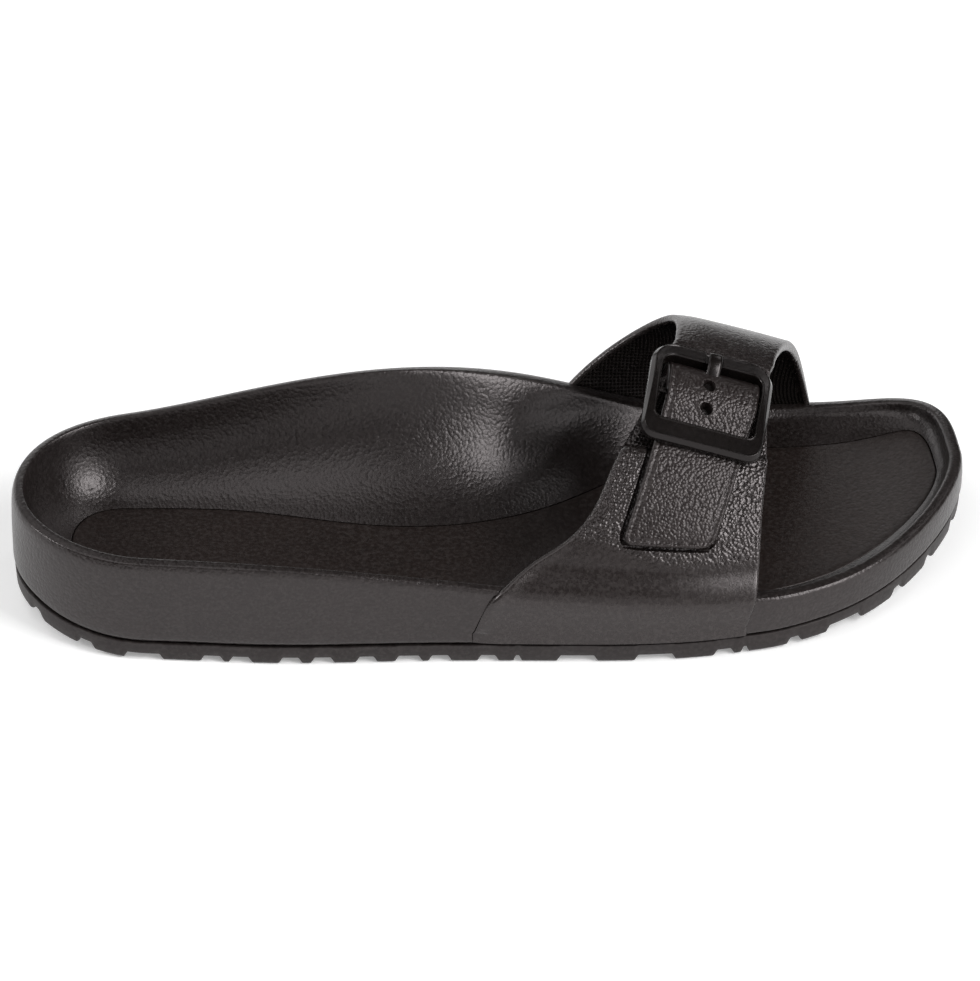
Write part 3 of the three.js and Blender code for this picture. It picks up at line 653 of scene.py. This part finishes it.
def tail_groove(x, turn):
    """Depth of the groove that the flap has along the tail's rear edge and its free end."""
    ahead = (turn - TAIL_END) * END_LENGTH
    out = x - LENGTH * tail_middle(turn)
    half = TAIL_WIDTH * tail_width(turn) / 2
    beside = np.maximum(abs(out) - half + TAIL_CORNER, 0)
    away = np.hypot(beside, np.maximum(TAIL_CORNER - ahead, 0)) - TAIL_CORNER
    front_side = smooth(out, half - FRONT_SIDE["across"], half) * smooth(ahead, 0.0, FRONT_SIDE["along"])
    shown = (1 - front_side) * (1 - smooth(turn, *UNDER_FRAME))
    return GROOVE_DEPTH * (1 - smooth(away, GROOVE_FLOOR, GROOVE_REACH)) * shown


def strap_columns(turn, start, end):
    """Places across the strap from start to end, close together at both edges of the tail."""
    middle, half = LENGTH * tail_middle(turn), TAIL_WIDTH * tail_width(turn) / 2
    left, right = middle - half, middle + half
    marks = [start, left - 1.5, left + 0.4, right - 0.4, right + 1.5, end]
    counts = [18, 12, 14, 12, 14]
    fitted = [a + (b - a) * np.arange(n) / n for a, b, n in zip(marks, marks[1:], counts)]
    fitted = np.concatenate([*fitted, end], 1)
    even = start + (end - start) * np.linspace(0, 1, fitted.shape[1])
    beside_tail = smooth(turn, -0.98, -0.9) * (1 - smooth(turn, -0.42, -0.3))
    return even + (fitted - even) * beside_tail


def lining_columns(rear, front):
    """Places across the strap's inner face, front to rear, and how deep the lining lies there."""
    near = LINING_RIM + LINING_SPOTS
    between = front - near[-1] - (front - rear - 2 * near[-1]) * np.linspace(0, 1, 26)[1:-1]
    x = np.concatenate([front - near, between, rear + near[::-1]], 1)
    inside = np.minimum(front - x, x - rear)
    return x, LINING_SINK * smooth(inside, LINING_RIM - LINING_STEP, LINING_RIM + LINING_STEP)


def at_rim(turn):
    """1 where the strap's rear edge meets the rim of the cup, 0 away from it."""
    enter = smooth(turn, RIM_TURNS["start"], RIM_TURNS["full"])
    return enter * (1 - smooth(turn, RIM_TURNS["leave"], RIM_TURNS["end"]))


def shoulder(x, rear, turn):
    """How far the flap rolls off towards its rear edge, but stands up where it meets the rim."""
    roll = SHOULDER_DROP * np.clip(1 - (x - rear) / SHOULDER_REACH, 0, 1) ** 2
    ridge = RIDGE * np.clip(1 - (x - rear) / RIDGE_REACH, 0, 1) ** 2
    return roll - (roll + ridge) * at_rim(turn)


def make_strap(material):
    turns = np.concatenate([
        np.linspace(-2, -1, 16)[:-1], np.linspace(-1, 1, 230), np.linspace(1, 2, 16)[1:],
        TAIL_END + np.linspace(-2.0, 0.6, 22) / END_LENGTH,
    ])
    turns = np.unique(turns.round(5))[:, None]
    rear, front = LENGTH * band_rear(turns), LENGTH * band_front(turns)
    low = np.full_like(turns, -STRAP_THICKNESS)
    arc = np.linspace(0, math.pi / 2, EDGE_STEPS + 1)
    back = arc[::-1]
    r = np.minimum(STRAP_EDGE, 0.45 * (-neck_depth(rear, turns) - low))
    soft = r * (SOFT_ROOT + (1 - SOFT_ROOT) * smooth(turns, -1.25, -1.0)) * (1 + RIM_EDGE * at_rim(turns))
    outer = strap_columns(turns, rear + soft, front - r)[:, 1:-1]
    inner, sunk = lining_columns(rear, front)
    x = np.concatenate([
        rear + soft * (1 - np.cos(arc)), outer, front - r * (1 - np.cos(back)),
        front - r * (1 - np.cos(arc)), inner, rear + r * (1 - np.cos(back)),
    ], 1)
    upper = 2 * len(arc) + outer.shape[1]
    down = np.concatenate([
        soft * (1 - np.sin(arc)), tail_groove(outer, turns), r * (1 - np.sin(back)),
    ], 1)
    over = x[:, :upper]
    rise = np.concatenate([
        -neck_depth(over, turns) - shoulder(over, rear, turns) - down,
        low + r * (1 - np.sin(arc)), low + sunk, low + r * (1 - np.sin(back)),
    ], 1)
    points, faces = tube(above(x, turns, rise))
    return build("strap_band", points, faces, material)


TAIL_LIP, TAIL_ROOT = 0.9, 2.5
TAIL_UNDERCUT, UNDERCUT_DROP = 0.45, 0.35
LIP_GROOVE = dict(depth=0.24, at=1.5, width=0.45)
HOLE_LIP = dict(height=0.12, at=0.5, width=0.35)
LIP_SPOTS, LIP_REACH, TAIL_STEP = np.array([0.0, 0.1, 0.25, 0.45, 0.7, 0.95, 1.25]), 1.5, 0.3


def bell(value, mark):
    return np.exp(-((value - mark["at"]) / mark["width"]) ** 2)


def tail_place(out, turn, rise):
    return above(LENGTH * tail_middle(turn) + out, turn, rise)


def make_tail(material):
    """The tail's upper face with its lip and holes, closed by a skirt sunk in the flap."""
    length = (TAIL[-1]["turn"] - TAIL_END) * END_LENGTH
    ahead = np.concatenate([LIP_SPOTS, np.arange(LIP_REACH, length, TAIL_STEP)])[:, None]
    turn = TAIL_END + ahead / END_LENGTH
    rounding = np.clip(1 - ahead / TAIL_CORNER, 0, 1)
    half = TAIL_WIDTH * tail_width(turn) / 2 - TAIL_CORNER * (1 - np.sqrt(1 - rounding ** 2))
    spread = np.concatenate([LIP_SPOTS, np.linspace(LIP_REACH, TAIL_WIDTH / 2, 36)])
    spread = spread / (TAIL_WIDTH / 2) - 1
    spread = np.concatenate([spread, -spread[-2::-1]])
    out = half * spread
    depth = np.minimum(half - abs(out), ahead)
    top = TAIL_RISE * tail_rise(turn)
    lip = np.clip(1 - depth / TAIL_LIP, 0, 1)
    rise = top - TAIL_LIP * (1 - np.sqrt(1 - lip ** 2))
    rise = rise - LIP_GROOVE["depth"] * bell(depth, LIP_GROOVE)
    for hole in HOLES:
        spot = LENGTH * tail_middle(hole["turn"]) + hole["aside"] * TAIL_WIDTH
        up = (turn - hole["turn"]) * turn_length(spot, hole["turn"])
        away = np.hypot(LENGTH * tail_middle(turn) + out - spot, up)
        rise = rise - HOLE_DEPTH * (1 - smooth(away, HOLE_RADIUS - 0.2, HOLE_RADIUS + 0.15))
        rise = rise + HOLE_LIP["height"] * bell(away - HOLE_RADIUS, HOLE_LIP)
    surface = tail_place(out, turn, rise)
    rows, columns = out.shape
    points = [surface.reshape(-1, 3)]
    faces = grid_faces(rows, columns, closed=False)
    rim = [(0, c) for c in range(columns)] + [(r, columns - 1) for r in range(1, rows)]
    rim += [(rows - 1, c) for c in range(columns - 2, -1, -1)] + [(r, 0) for r in range(rows - 2, 0, -1)]
    r_index, c_index = np.array(rim).T
    rim_out, rim_turn = out[r_index, c_index], turn[r_index, 0]
    rim_rise = rise[r_index, c_index]
    loop = r_index * columns + c_index
    total, previous = rows * columns, loop
    squeeze = 1 - TAIL_UNDERCUT / (TAIL_WIDTH / 2)
    back = TAIL_UNDERCUT / END_LENGTH
    for drop in (UNDERCUT_DROP, None):
        level = rim_rise - drop if drop else np.full_like(rim_rise, -TAIL_ROOT)
        points.append(tail_place(rim_out * squeeze, np.maximum(rim_turn, TAIL_END + back), level))
        current = np.arange(total, total + len(loop))
        for i in range(len(loop)):
            j = (i + 1) % len(loop)
            faces.append((previous[i], current[i], current[j], previous[j]))
        previous, total = current, total + len(loop)
    faces.append(tuple(previous[::-1]))
    return build("strap_tail", np.concatenate(points), [tuple(map(int, f)) for f in faces], material)


KNOB_PITCH, KNOB_RADIUS, KNOB_MARGIN, KNOB_RISE = 1.05, 0.48, 2.3, 0.05
KNOB_TURNS = (-0.93, 0.99)


def make_lining_knobs(material):
    """Rows of small knobs on the strap's inner face, set on their places by a node tree."""
    turns = np.linspace(*KNOB_TURNS, 800)
    middle = LENGTH * (band_rear(turns) + band_front(turns)) / 2
    spots = above(middle, turns, -STRAP_THICKNESS)
    length = np.concatenate([[0], np.cumsum(np.linalg.norm(np.diff(spots, axis=0), axis=1))])
    places = []
    for turn in np.interp(np.arange(KNOB_PITCH, length[-1], KNOB_PITCH), length, turns):
        rear, front = LENGTH * band_rear(turn) + KNOB_MARGIN, LENGTH * band_front(turn) - KNOB_MARGIN
        rise = LINING_SINK - STRAP_THICKNESS + KNOB_RISE
        places.append(above(np.arange(rear, front, KNOB_PITCH), turn, rise))
    mesh = bpy.data.meshes.new("knob_places")
    mesh.from_pydata(row(np.concatenate(places)).tolist(), [], [])
    carrier = bpy.data.objects.new("knob_places", mesh)
    bpy.context.scene.collection.objects.link(carrier)
    tree = bpy.data.node_groups.new("knobs", "GeometryNodeTree")
    for name, kind in (("Geometry", "NodeSocketGeometry"), ("Radius", "NodeSocketFloat")):
        tree.interface.new_socket(name=name, in_out="INPUT", socket_type=kind)
    tree.interface.new_socket(name="Geometry", in_out="OUTPUT", socket_type="NodeSocketGeometry")

    def add(kind, links=(), **values):
        item = tree.nodes.new(kind)
        for key, value in values.items():
            item.inputs[key].default_value = value
        for key, source in links:
            tree.links.new(source, item.inputs[key])
        return item

    entry = add("NodeGroupInput")
    knob = add("GeometryNodeMeshIcoSphere", [("Radius", entry.outputs["Radius"])], Subdivisions=1)
    round_knob = add("GeometryNodeSetShadeSmooth", [("Geometry", knob.outputs[0])])
    placed = add("GeometryNodeInstanceOnPoints", [
        ("Points", entry.outputs["Geometry"]), ("Instance", round_knob.outputs[0]),
    ])
    real = add("GeometryNodeRealizeInstances", [("Geometry", placed.outputs[0])])
    painted = add("GeometryNodeSetMaterial", [("Geometry", real.outputs[0])], Material=material)
    add("NodeGroupOutput", [("Geometry", painted.outputs[0])])
    modifier = carrier.modifiers.new("knobs", "NODES")
    modifier.node_group = tree
    for item in tree.interface.items_tree:
        if item.in_out == "INPUT" and item.name == "Radius":
            modifier[item.identifier] = KNOB_RADIUS * MM
    depsgraph = bpy.context.evaluated_depsgraph_get()
    made = bpy.data.meshes.new_from_object(carrier.evaluated_get(depsgraph))
    bpy.data.objects.remove(carrier)
    made.materials.clear()
    made.materials.append(material)
    piece = bpy.data.objects.new("lining_knobs", made)
    bpy.context.scene.collection.objects.link(piece)
    return piece


# Buckle.
FRAME_WIDTH, FRAME_HEIGHT, FRAME_BEND = 33.5, 31.5, 70.0
FRAME_CORNER, WINDOW_CORNER = dict(top=7.2, bottom=4.3), dict(top=3.6, bottom=2.2)
FRAME_THICKNESS, SIDE_BAR, TOP_BAR, BOTTOM_BAR = 3.4, 3.0, 5.0, 6.2
PIN_RADIUS, PIN_RISE = 0.8, -1.3
SEAT_TOP, SEAT_BOTTOM = (-0.066, 4.0), (-0.466, 7.1)
PRONG_WIDTH, PRONG_THICKNESS, PRONG_TIP, PRONG_WRAP = 3.8, 1.7, 13.4, 1.75
NOTCH_DEPTH, NOTCH_SLIT = 0.8, 0.45
OUTER_SIDE = [(0.9, -1.70), (0.0, -1.70), (0.0, 0.35), (1.00, 1.70), (1.25, 1.70), (1.50, 1.52)]
INNER_SIDE = [(0.80, 1.52), (0.55, 1.70), (0.25, 1.70), (0.0, 1.35), (0.0, -1.70), (0.9, -1.70)]
SIDE_ROUND = 0.16


def buckle_place():
    """From the flat buckle, x across and y up the strap, z away from the foot, to the shoe."""
    def seat(turn, rise):
        return above(LENGTH * tail_middle(turn), turn, rise)
    top, bottom = seat(*SEAT_TOP), seat(*SEAT_BOTTOM)
    turn = (SEAT_TOP[0] + SEAT_BOTTOM[0]) / 2
    x = LENGTH * tail_middle(turn)
    up = (top - bottom) / np.linalg.norm(top - bottom)
    forward = arch_point(x + 8, turn) - arch_point(x - 8, turn)
    away = np.cross(forward, up)
    away /= np.linalg.norm(away)
    across = np.cross(up, away)
    return np.stack([across, up, away]), (top + bottom) / 2


def on_strap(flat, bent=True):
    turned, middle = buckle_place()
    x, y, z = np.moveaxis(np.asarray(flat, float), -1, 0)
    if bent:
        angle, reach = y / FRAME_BEND, FRAME_BEND + z
        y, z = reach * np.sin(angle), reach * np.cos(angle) - FRAME_BEND
    return np.stack([x, y, z], -1) @ turned + middle


def rounded_rectangle(left, right, low, high, corner, across):
    """Outline with its top side's points at the given shares, so that two outlines match."""
    top, bottom = corner["top"], corner["bottom"]
    arc = np.linspace(0, math.pi / 2, 15)
    side = np.linspace(0, 1, 22)[1:-1]
    def bend(x, y, start, radius):
        return np.stack([x + radius * np.cos(arc + start), y + radius * np.sin(arc + start)], 1)
    def line(a, b, t):
        return np.array(a) + (np.array(b) - np.array(a)) * np.asarray(t)[:, None]
    return np.concatenate([
        bend(right - bottom, low + bottom, -math.pi / 2, bottom),
        line((right, low + bottom), (right, high - top), side),
        bend(right - top, high - top, 0, top),
        np.stack([across, np.full(len(across), high)], 1),
        bend(left + top, high - top, math.pi / 2, top),
        line((left, high - top), (left, low + bottom), side),
        bend(left + bottom, low + bottom, math.pi, bottom),
        line((left + bottom, low), (right - bottom, low), side),
    ])


def frame_side(corners):
    """One side of the bar's section, corners rounded: distance in from its edge, and rise."""
    made = [corners[0]]
    for before, at, after in zip(corners, corners[1:], corners[2:]):
        before, at, after = (np.array(p) for p in (before, at, after))
        back, on = ((p - at) / np.linalg.norm(p - at) for p in (before, after))
        start = at + back * min(SIDE_ROUND, 0.4 * np.linalg.norm(before - at))
        end = at + on * min(SIDE_ROUND, 0.4 * np.linalg.norm(after - at))
        made += [
            (1 - t) ** 2 * start + 2 * t * (1 - t) * at + t * t * end for t in (0, 0.25, 0.5, 0.75, 1)
        ]
    return [*made, corners[-1]]


def make_buckle_frame(material):
    wide, high = FRAME_WIDTH / 2, FRAME_HEIGHT / 2
    notch = PRONG_WIDTH / 2 + NOTCH_SLIT
    half_top = np.array([
        0, 0.5, 1.0, notch - 0.15, notch - 0.03, notch + 0.1, notch + 0.3, 3.0, 4.2, 6.0, 8.0,
    ])
    across = np.concatenate([-half_top[:0:-1], half_top])[::-1]
    outer = rounded_rectangle(-wide, wide, -high, high, FRAME_CORNER, across)
    inner = rounded_rectangle(
        SIDE_BAR - wide, wide - SIDE_BAR, BOTTOM_BAR - high, high - TOP_BAR,
        WINDOW_CORNER, across,
    )
    away = outer - inner
    away /= np.linalg.norm(away, axis=1, keepdims=True)
    at, rise = np.array([*frame_side(OUTER_SIDE), *frame_side(INNER_SIDE)]).T
    half = len(at) // 2
    flat = np.concatenate([
        outer[:, None] - away[:, None] * at[None, :half, None],
        inner[:, None] + away[:, None] * at[None, half:, None],
    ], 1)
    z = np.broadcast_to(rise, flat.shape[:2]).copy()
    in_notch = 1 - smooth(abs(flat[..., 0]), notch - 0.05, notch + 0.05)
    z -= NOTCH_DEPTH * in_notch * (flat[..., 1] > 0) * (z > 0)
    ring = on_strap(np.dstack([flat, z]))
    count = len(outer)
    around = len(at)
    faces = grid_faces(count, around)
    last = (count - 1) * around
    for c in range(around):
        d = (c + 1) % around
        faces.append((last + c, last + d, d, c))
    reach = wide - SIDE_BAR / 2
    pin, pin_faces = tube(bar_sections(np.linspace(-reach, reach, 12), PIN_RADIUS))
    offset = count * around
    faces += [tuple(i + offset for i in f) for f in pin_faces]
    return build("buckle_bars", np.concatenate([ring.reshape(-1, 3), pin]), faces, material, 30)


def bar_sections(stations, radius, count=20):
    """Round sections on the centre bar's axis."""
    angle = 2 * math.pi * np.arange(count) / count
    return [on_strap(np.stack([
        np.full(count, x), radius * np.cos(angle), PIN_RISE + radius * np.sin(angle),
    ], 1)) for x in stations]


PRONG_PATH = [
    dict(along=0.09, rise=0.09), dict(along=0.34, rise=0.21), dict(along=0.60, rise=0.70),
    dict(along=0.78, rise=1.00), dict(along=0.93, rise=1.00), dict(along=1.00, rise=0.96),
]
PRONG_SQUARE = 3.6
TIP_FROM, TIP_REACH, TIP_WIDTH, TIP_THICKNESS = 0.92, 0.085, 0.55, 0.25


def make_prong(material):
    """The tongue from the centre bar over the tail to the notch in the frame, with its collar."""
    rest = FRAME_THICKNESS / 2 - NOTCH_DEPTH + GAP + PRONG_THICKNESS / 2
    rise_at = spline(PRONG_PATH, "along", "rise")
    start = PRONG_PATH[0]["along"]
    along = np.concatenate([np.linspace(start, TIP_FROM, 30), [0.95, 0.975, 0.99, 1.0]])
    y = along * PRONG_TIP
    z = PIN_RISE + (rest - PIN_RISE) * rise_at(along)
    lean = np.stack([np.gradient(y), np.gradient(z)], 1)
    lean /= np.linalg.norm(lean, axis=1, keepdims=True)
    angle = 2 * math.pi * np.arange(24) / 24
    def power(v):
        return np.sign(v) * abs(v) ** (2 / PRONG_SQUARE)
    past = (along - TIP_FROM) / TIP_REACH
    taper = np.where(along > TIP_FROM, np.sqrt(np.clip(1 - past ** 2, 0, 1)), 1)
    sections = []
    for i in range(len(along)):
        out = PRONG_WIDTH / 2 * power(np.cos(angle)) * (TIP_WIDTH + (1 - TIP_WIDTH) * taper[i])
        over = PRONG_THICKNESS / 2 * power(np.sin(angle)) * taper[i].clip(TIP_THICKNESS, 1)
        flat = np.stack([out, y[i] - over * lean[i, 1], z[i] + over * lean[i, 0]], 1)
        sections.append(on_strap(flat, bent=False))
    shank, faces = tube(sections)
    reach = PRONG_WIDTH / 2
    collar, collar_faces = tube(bar_sections(np.linspace(-reach, reach, 4), PRONG_WRAP))
    faces += [tuple(i + len(shank) for i in f) for f in collar_faces]
    return build("buckle_tongue", np.concatenate([shank, collar]), faces, material, 60)


# Finishes.
def darker(color, factor):
    return tuple(factor * c for c in color[:3]) + (1.0,)


GLOSS_TINT, SPECK_COLOR = (1.0, 0.93, 0.935, 1.0), rgb(120, 114, 112)


def moulded_foam(name, color, rough, grain, pebbles, specks=0.08, specular=0.5, pebbled=None):
    """Moulded foam with a fine cast grain and leather pebbles, and painted shade that darkens the pebbles'
    creases.

    grain, pebbles: size and depth in metres. specks: share of pale specks in the colour.
    pebbled: gives the share of the pebbles at a spot.
    """
    shade = Shade(name)
    fine = shade.noise(grain[0], 4.0, 0.65)
    broad = shade.noise(0.014, 3.0)
    cells = shade.pebbles(pebbles[0], pebbles[0] * 0.35)
    wrinkle = shade.noise(pebbles[0] * 1.8, 2.0)
    height = cells * 0.8 + wrinkle * 0.3
    creases = (1.0 - cells).ramp(0.35, 0.95)
    if pebbled:
        leather = pebbled(shade)
        height, creases = height * leather, creases * leather
    base = shade.mix(broad.ramp(0.3, 0.7), darker(color, 0.85), color)
    # Painted shade: the creases between the pebbles are darkened towards 0.35 of the colour.
    base = shade.mix(creases * 0.45, base, darker(color, 0.35))
    base = shade.mix(fine.ramp(0.4, 0.7) * specks, base, SPECK_COLOR)
    roughness = rough + 0.10 * (broad - 0.5) + 0.14 * (fine - 0.5)
    normal = shade.bump(height, pebbles[1], under=shade.bump(fine, grain[1]))
    return shade.finish(color=base, roughness=roughness, normal=normal, specular=specular, tint=GLOSS_TINT)


def strap_pebbles(shade):
    """Pebbles above the smooth foot of the strap, weaker on its top."""
    foot = shade.axis("X").ramp(0.018, 0.048, 0.0335, 0.0262)
    over_foot = (shade.axis("Z") - foot).ramp(-0.002, 0.003)
    return over_foot * shade.axis("Y").ramp(-0.022, -0.006, 1.0, 0.35)


def tail_pebbles(shade):
    """Pebbles on the tail, smooth where it rises to the prong."""
    return shade.axis("Y").ramp(-0.013, -0.005, 1.0, 0.15)


SIDE_FOAM = moulded_foam(
    "side_foam", rgb(25, 20, 19), 0.31, (0.0005, 0.00009), (0.0009, 0.00006), specks=0.06, specular=0.52,
)
LEATHER_FOAM = moulded_foam(
    "leather_grain_foam", rgb(26, 21, 20), 0.27, (0.0005, 0.00004), (0.0009, 0.00023), specular=0.54,
    pebbled=strap_pebbles,
)
TAIL_FOAM = moulded_foam(
    "tail_foam", rgb(25, 19, 18), 0.33, (0.0005, 0.00003), (0.0008, 0.00016), specular=0.42,
    pebbled=tail_pebbles,
)
FLOOR_FOAM = moulded_foam("floor_foam", rgb(26, 18, 15), 0.46, (0.0006, 0.00007), (0.0010, 0.00005))
TREAD_FOAM = moulded_foam(
    "tread_foam", rgb(24, 19, 18), 0.5, (0.0006, 0.00006), (0.0012, 0.00003), specular=0.42,
)
# Painted shade: a near-black, barely glossy copy of the strap's foam for the knobs, which lie in the shade
# under the strap.
LINING_SHADED_FOAM = moulded_foam(
    "lining_shaded_foam", rgb(10, 7, 5), 0.65, (0.0005, 0.00004), (0.0010, 0.00002), specks=0.0, specular=0.1,
)
BUCKLE_PLASTIC = moulded_foam(
    "buckle_plastic", rgb(18, 15, 14), 0.22, (0.0008, 0.00001), (0.0014, 0.000012), specks=0.0, specular=0.3,
)

PIECES = [
    (make_outsole(TREAD_FOAM), "tread_foam", ["outsole"]),
    (make_footbed(SIDE_FOAM), "foam", ["footbed"]),
    (make_insole(FLOOR_FOAM), "floor_foam", ["insole"]),
    (make_strap(LEATHER_FOAM), "foam", ["upper"]),
    (make_tail(TAIL_FOAM), "foam", []),
    (make_lining_knobs(LINING_SHADED_FOAM), "foam", []),
    (make_buckle_frame(BUCKLE_PLASTIC), "buckle", ["buckle_frame"]),
    (make_prong(BUCKLE_PLASTIC), "buckle", ["buckle_prong"]),
]
for piece, slot, nodes in PIECES:
    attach(piece, "root")
    if nodes:
        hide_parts(*nodes)


# Floor and light.
def make_floor():
    shade = Shade("pale_floor")
    tone = shade.noise(0.4, 2.0).ramp(0.0, 1.0, 0.93, 0.96)
    color = shade.node("ShaderNodeCombineColor", inputs={0: tone, 1: tone, 2: tone})
    material = shade.finish(
        color=color, roughness=0.9, specular=0.1, glow=(1.0, 1.0, 1.0, 1.0), glow_strength=0.25,
    )
    bpy.ops.mesh.primitive_plane_add(size=12.0)
    floor = bpy.context.active_object
    floor.name = "floor"
    floor.data.materials.append(material)


def area_light(name, azimuth, elevation, size, radiance):
    """A square softbox that faces the shoe; azimuth is from the toe towards the medial side."""
    data = bpy.data.lights.new(name, "AREA")
    data.shape, data.size = "SQUARE", size
    data.energy = radiance * math.pi * size ** 2
    light = bpy.data.objects.new(name, data)
    a, e = math.radians(azimuth), math.radians(elevation)
    direction = Vector((math.cos(a) * math.cos(e), math.sin(a) * math.cos(e), math.sin(e)))
    light.location = SHOE + direction * LIGHT_DISTANCE
    light.rotation_mode = "QUATERNION"
    light.rotation_quaternion = (-direction).to_track_quat("-Z", "Y")
    bpy.context.scene.collection.objects.link(light)


make_floor()
SHOE, LIGHT_DISTANCE = Vector((0.0, 0.0, 0.03)), 1.5
LIGHTS = [
    dict(name="key", azimuth=-43, elevation=39, size=0.6, radiance=12.0),
    dict(name="right_key", azimuth=-20, elevation=45, size=0.4, radiance=7.0),
    dict(name="left_key", azimuth=180, elevation=30, size=0.3, radiance=20.0),
    dict(name="rim_key", azimuth=35, elevation=48, size=0.3, radiance=3.5),
    dict(name="left_low", azimuth=180, elevation=10, size=0.95, radiance=0.8),
    dict(name="right_low", azimuth=-45, elevation=10, size=0.95, radiance=2.0),
    dict(name="back_left_low", azimuth=135, elevation=10, size=0.95, radiance=1.5),
    dict(name="left_top", azimuth=-135, elevation=58, size=0.95, radiance=1.7),
    dict(name="front_low", azimuth=-90, elevation=10, size=0.95, radiance=0.75),
    dict(name="back_low", azimuth=90, elevation=10, size=0.95, radiance=1.3),
    dict(name="back_left_top", azimuth=135, elevation=58, size=0.95, radiance=0.8),
]
for light in LIGHTS:
    area_light(**light)
world = bpy.data.worlds.new("studio")
world.use_nodes = True
background = world.node_tree.nodes["Background"]
background.inputs["Color"].default_value = (1.0, 1.0, 1.0, 1.0)
background.inputs["Strength"].default_value = 0.05
scene = bpy.context.scene
scene.world = world
scene.view_settings.view_transform = "Standard"
scene.view_settings.look = "None"
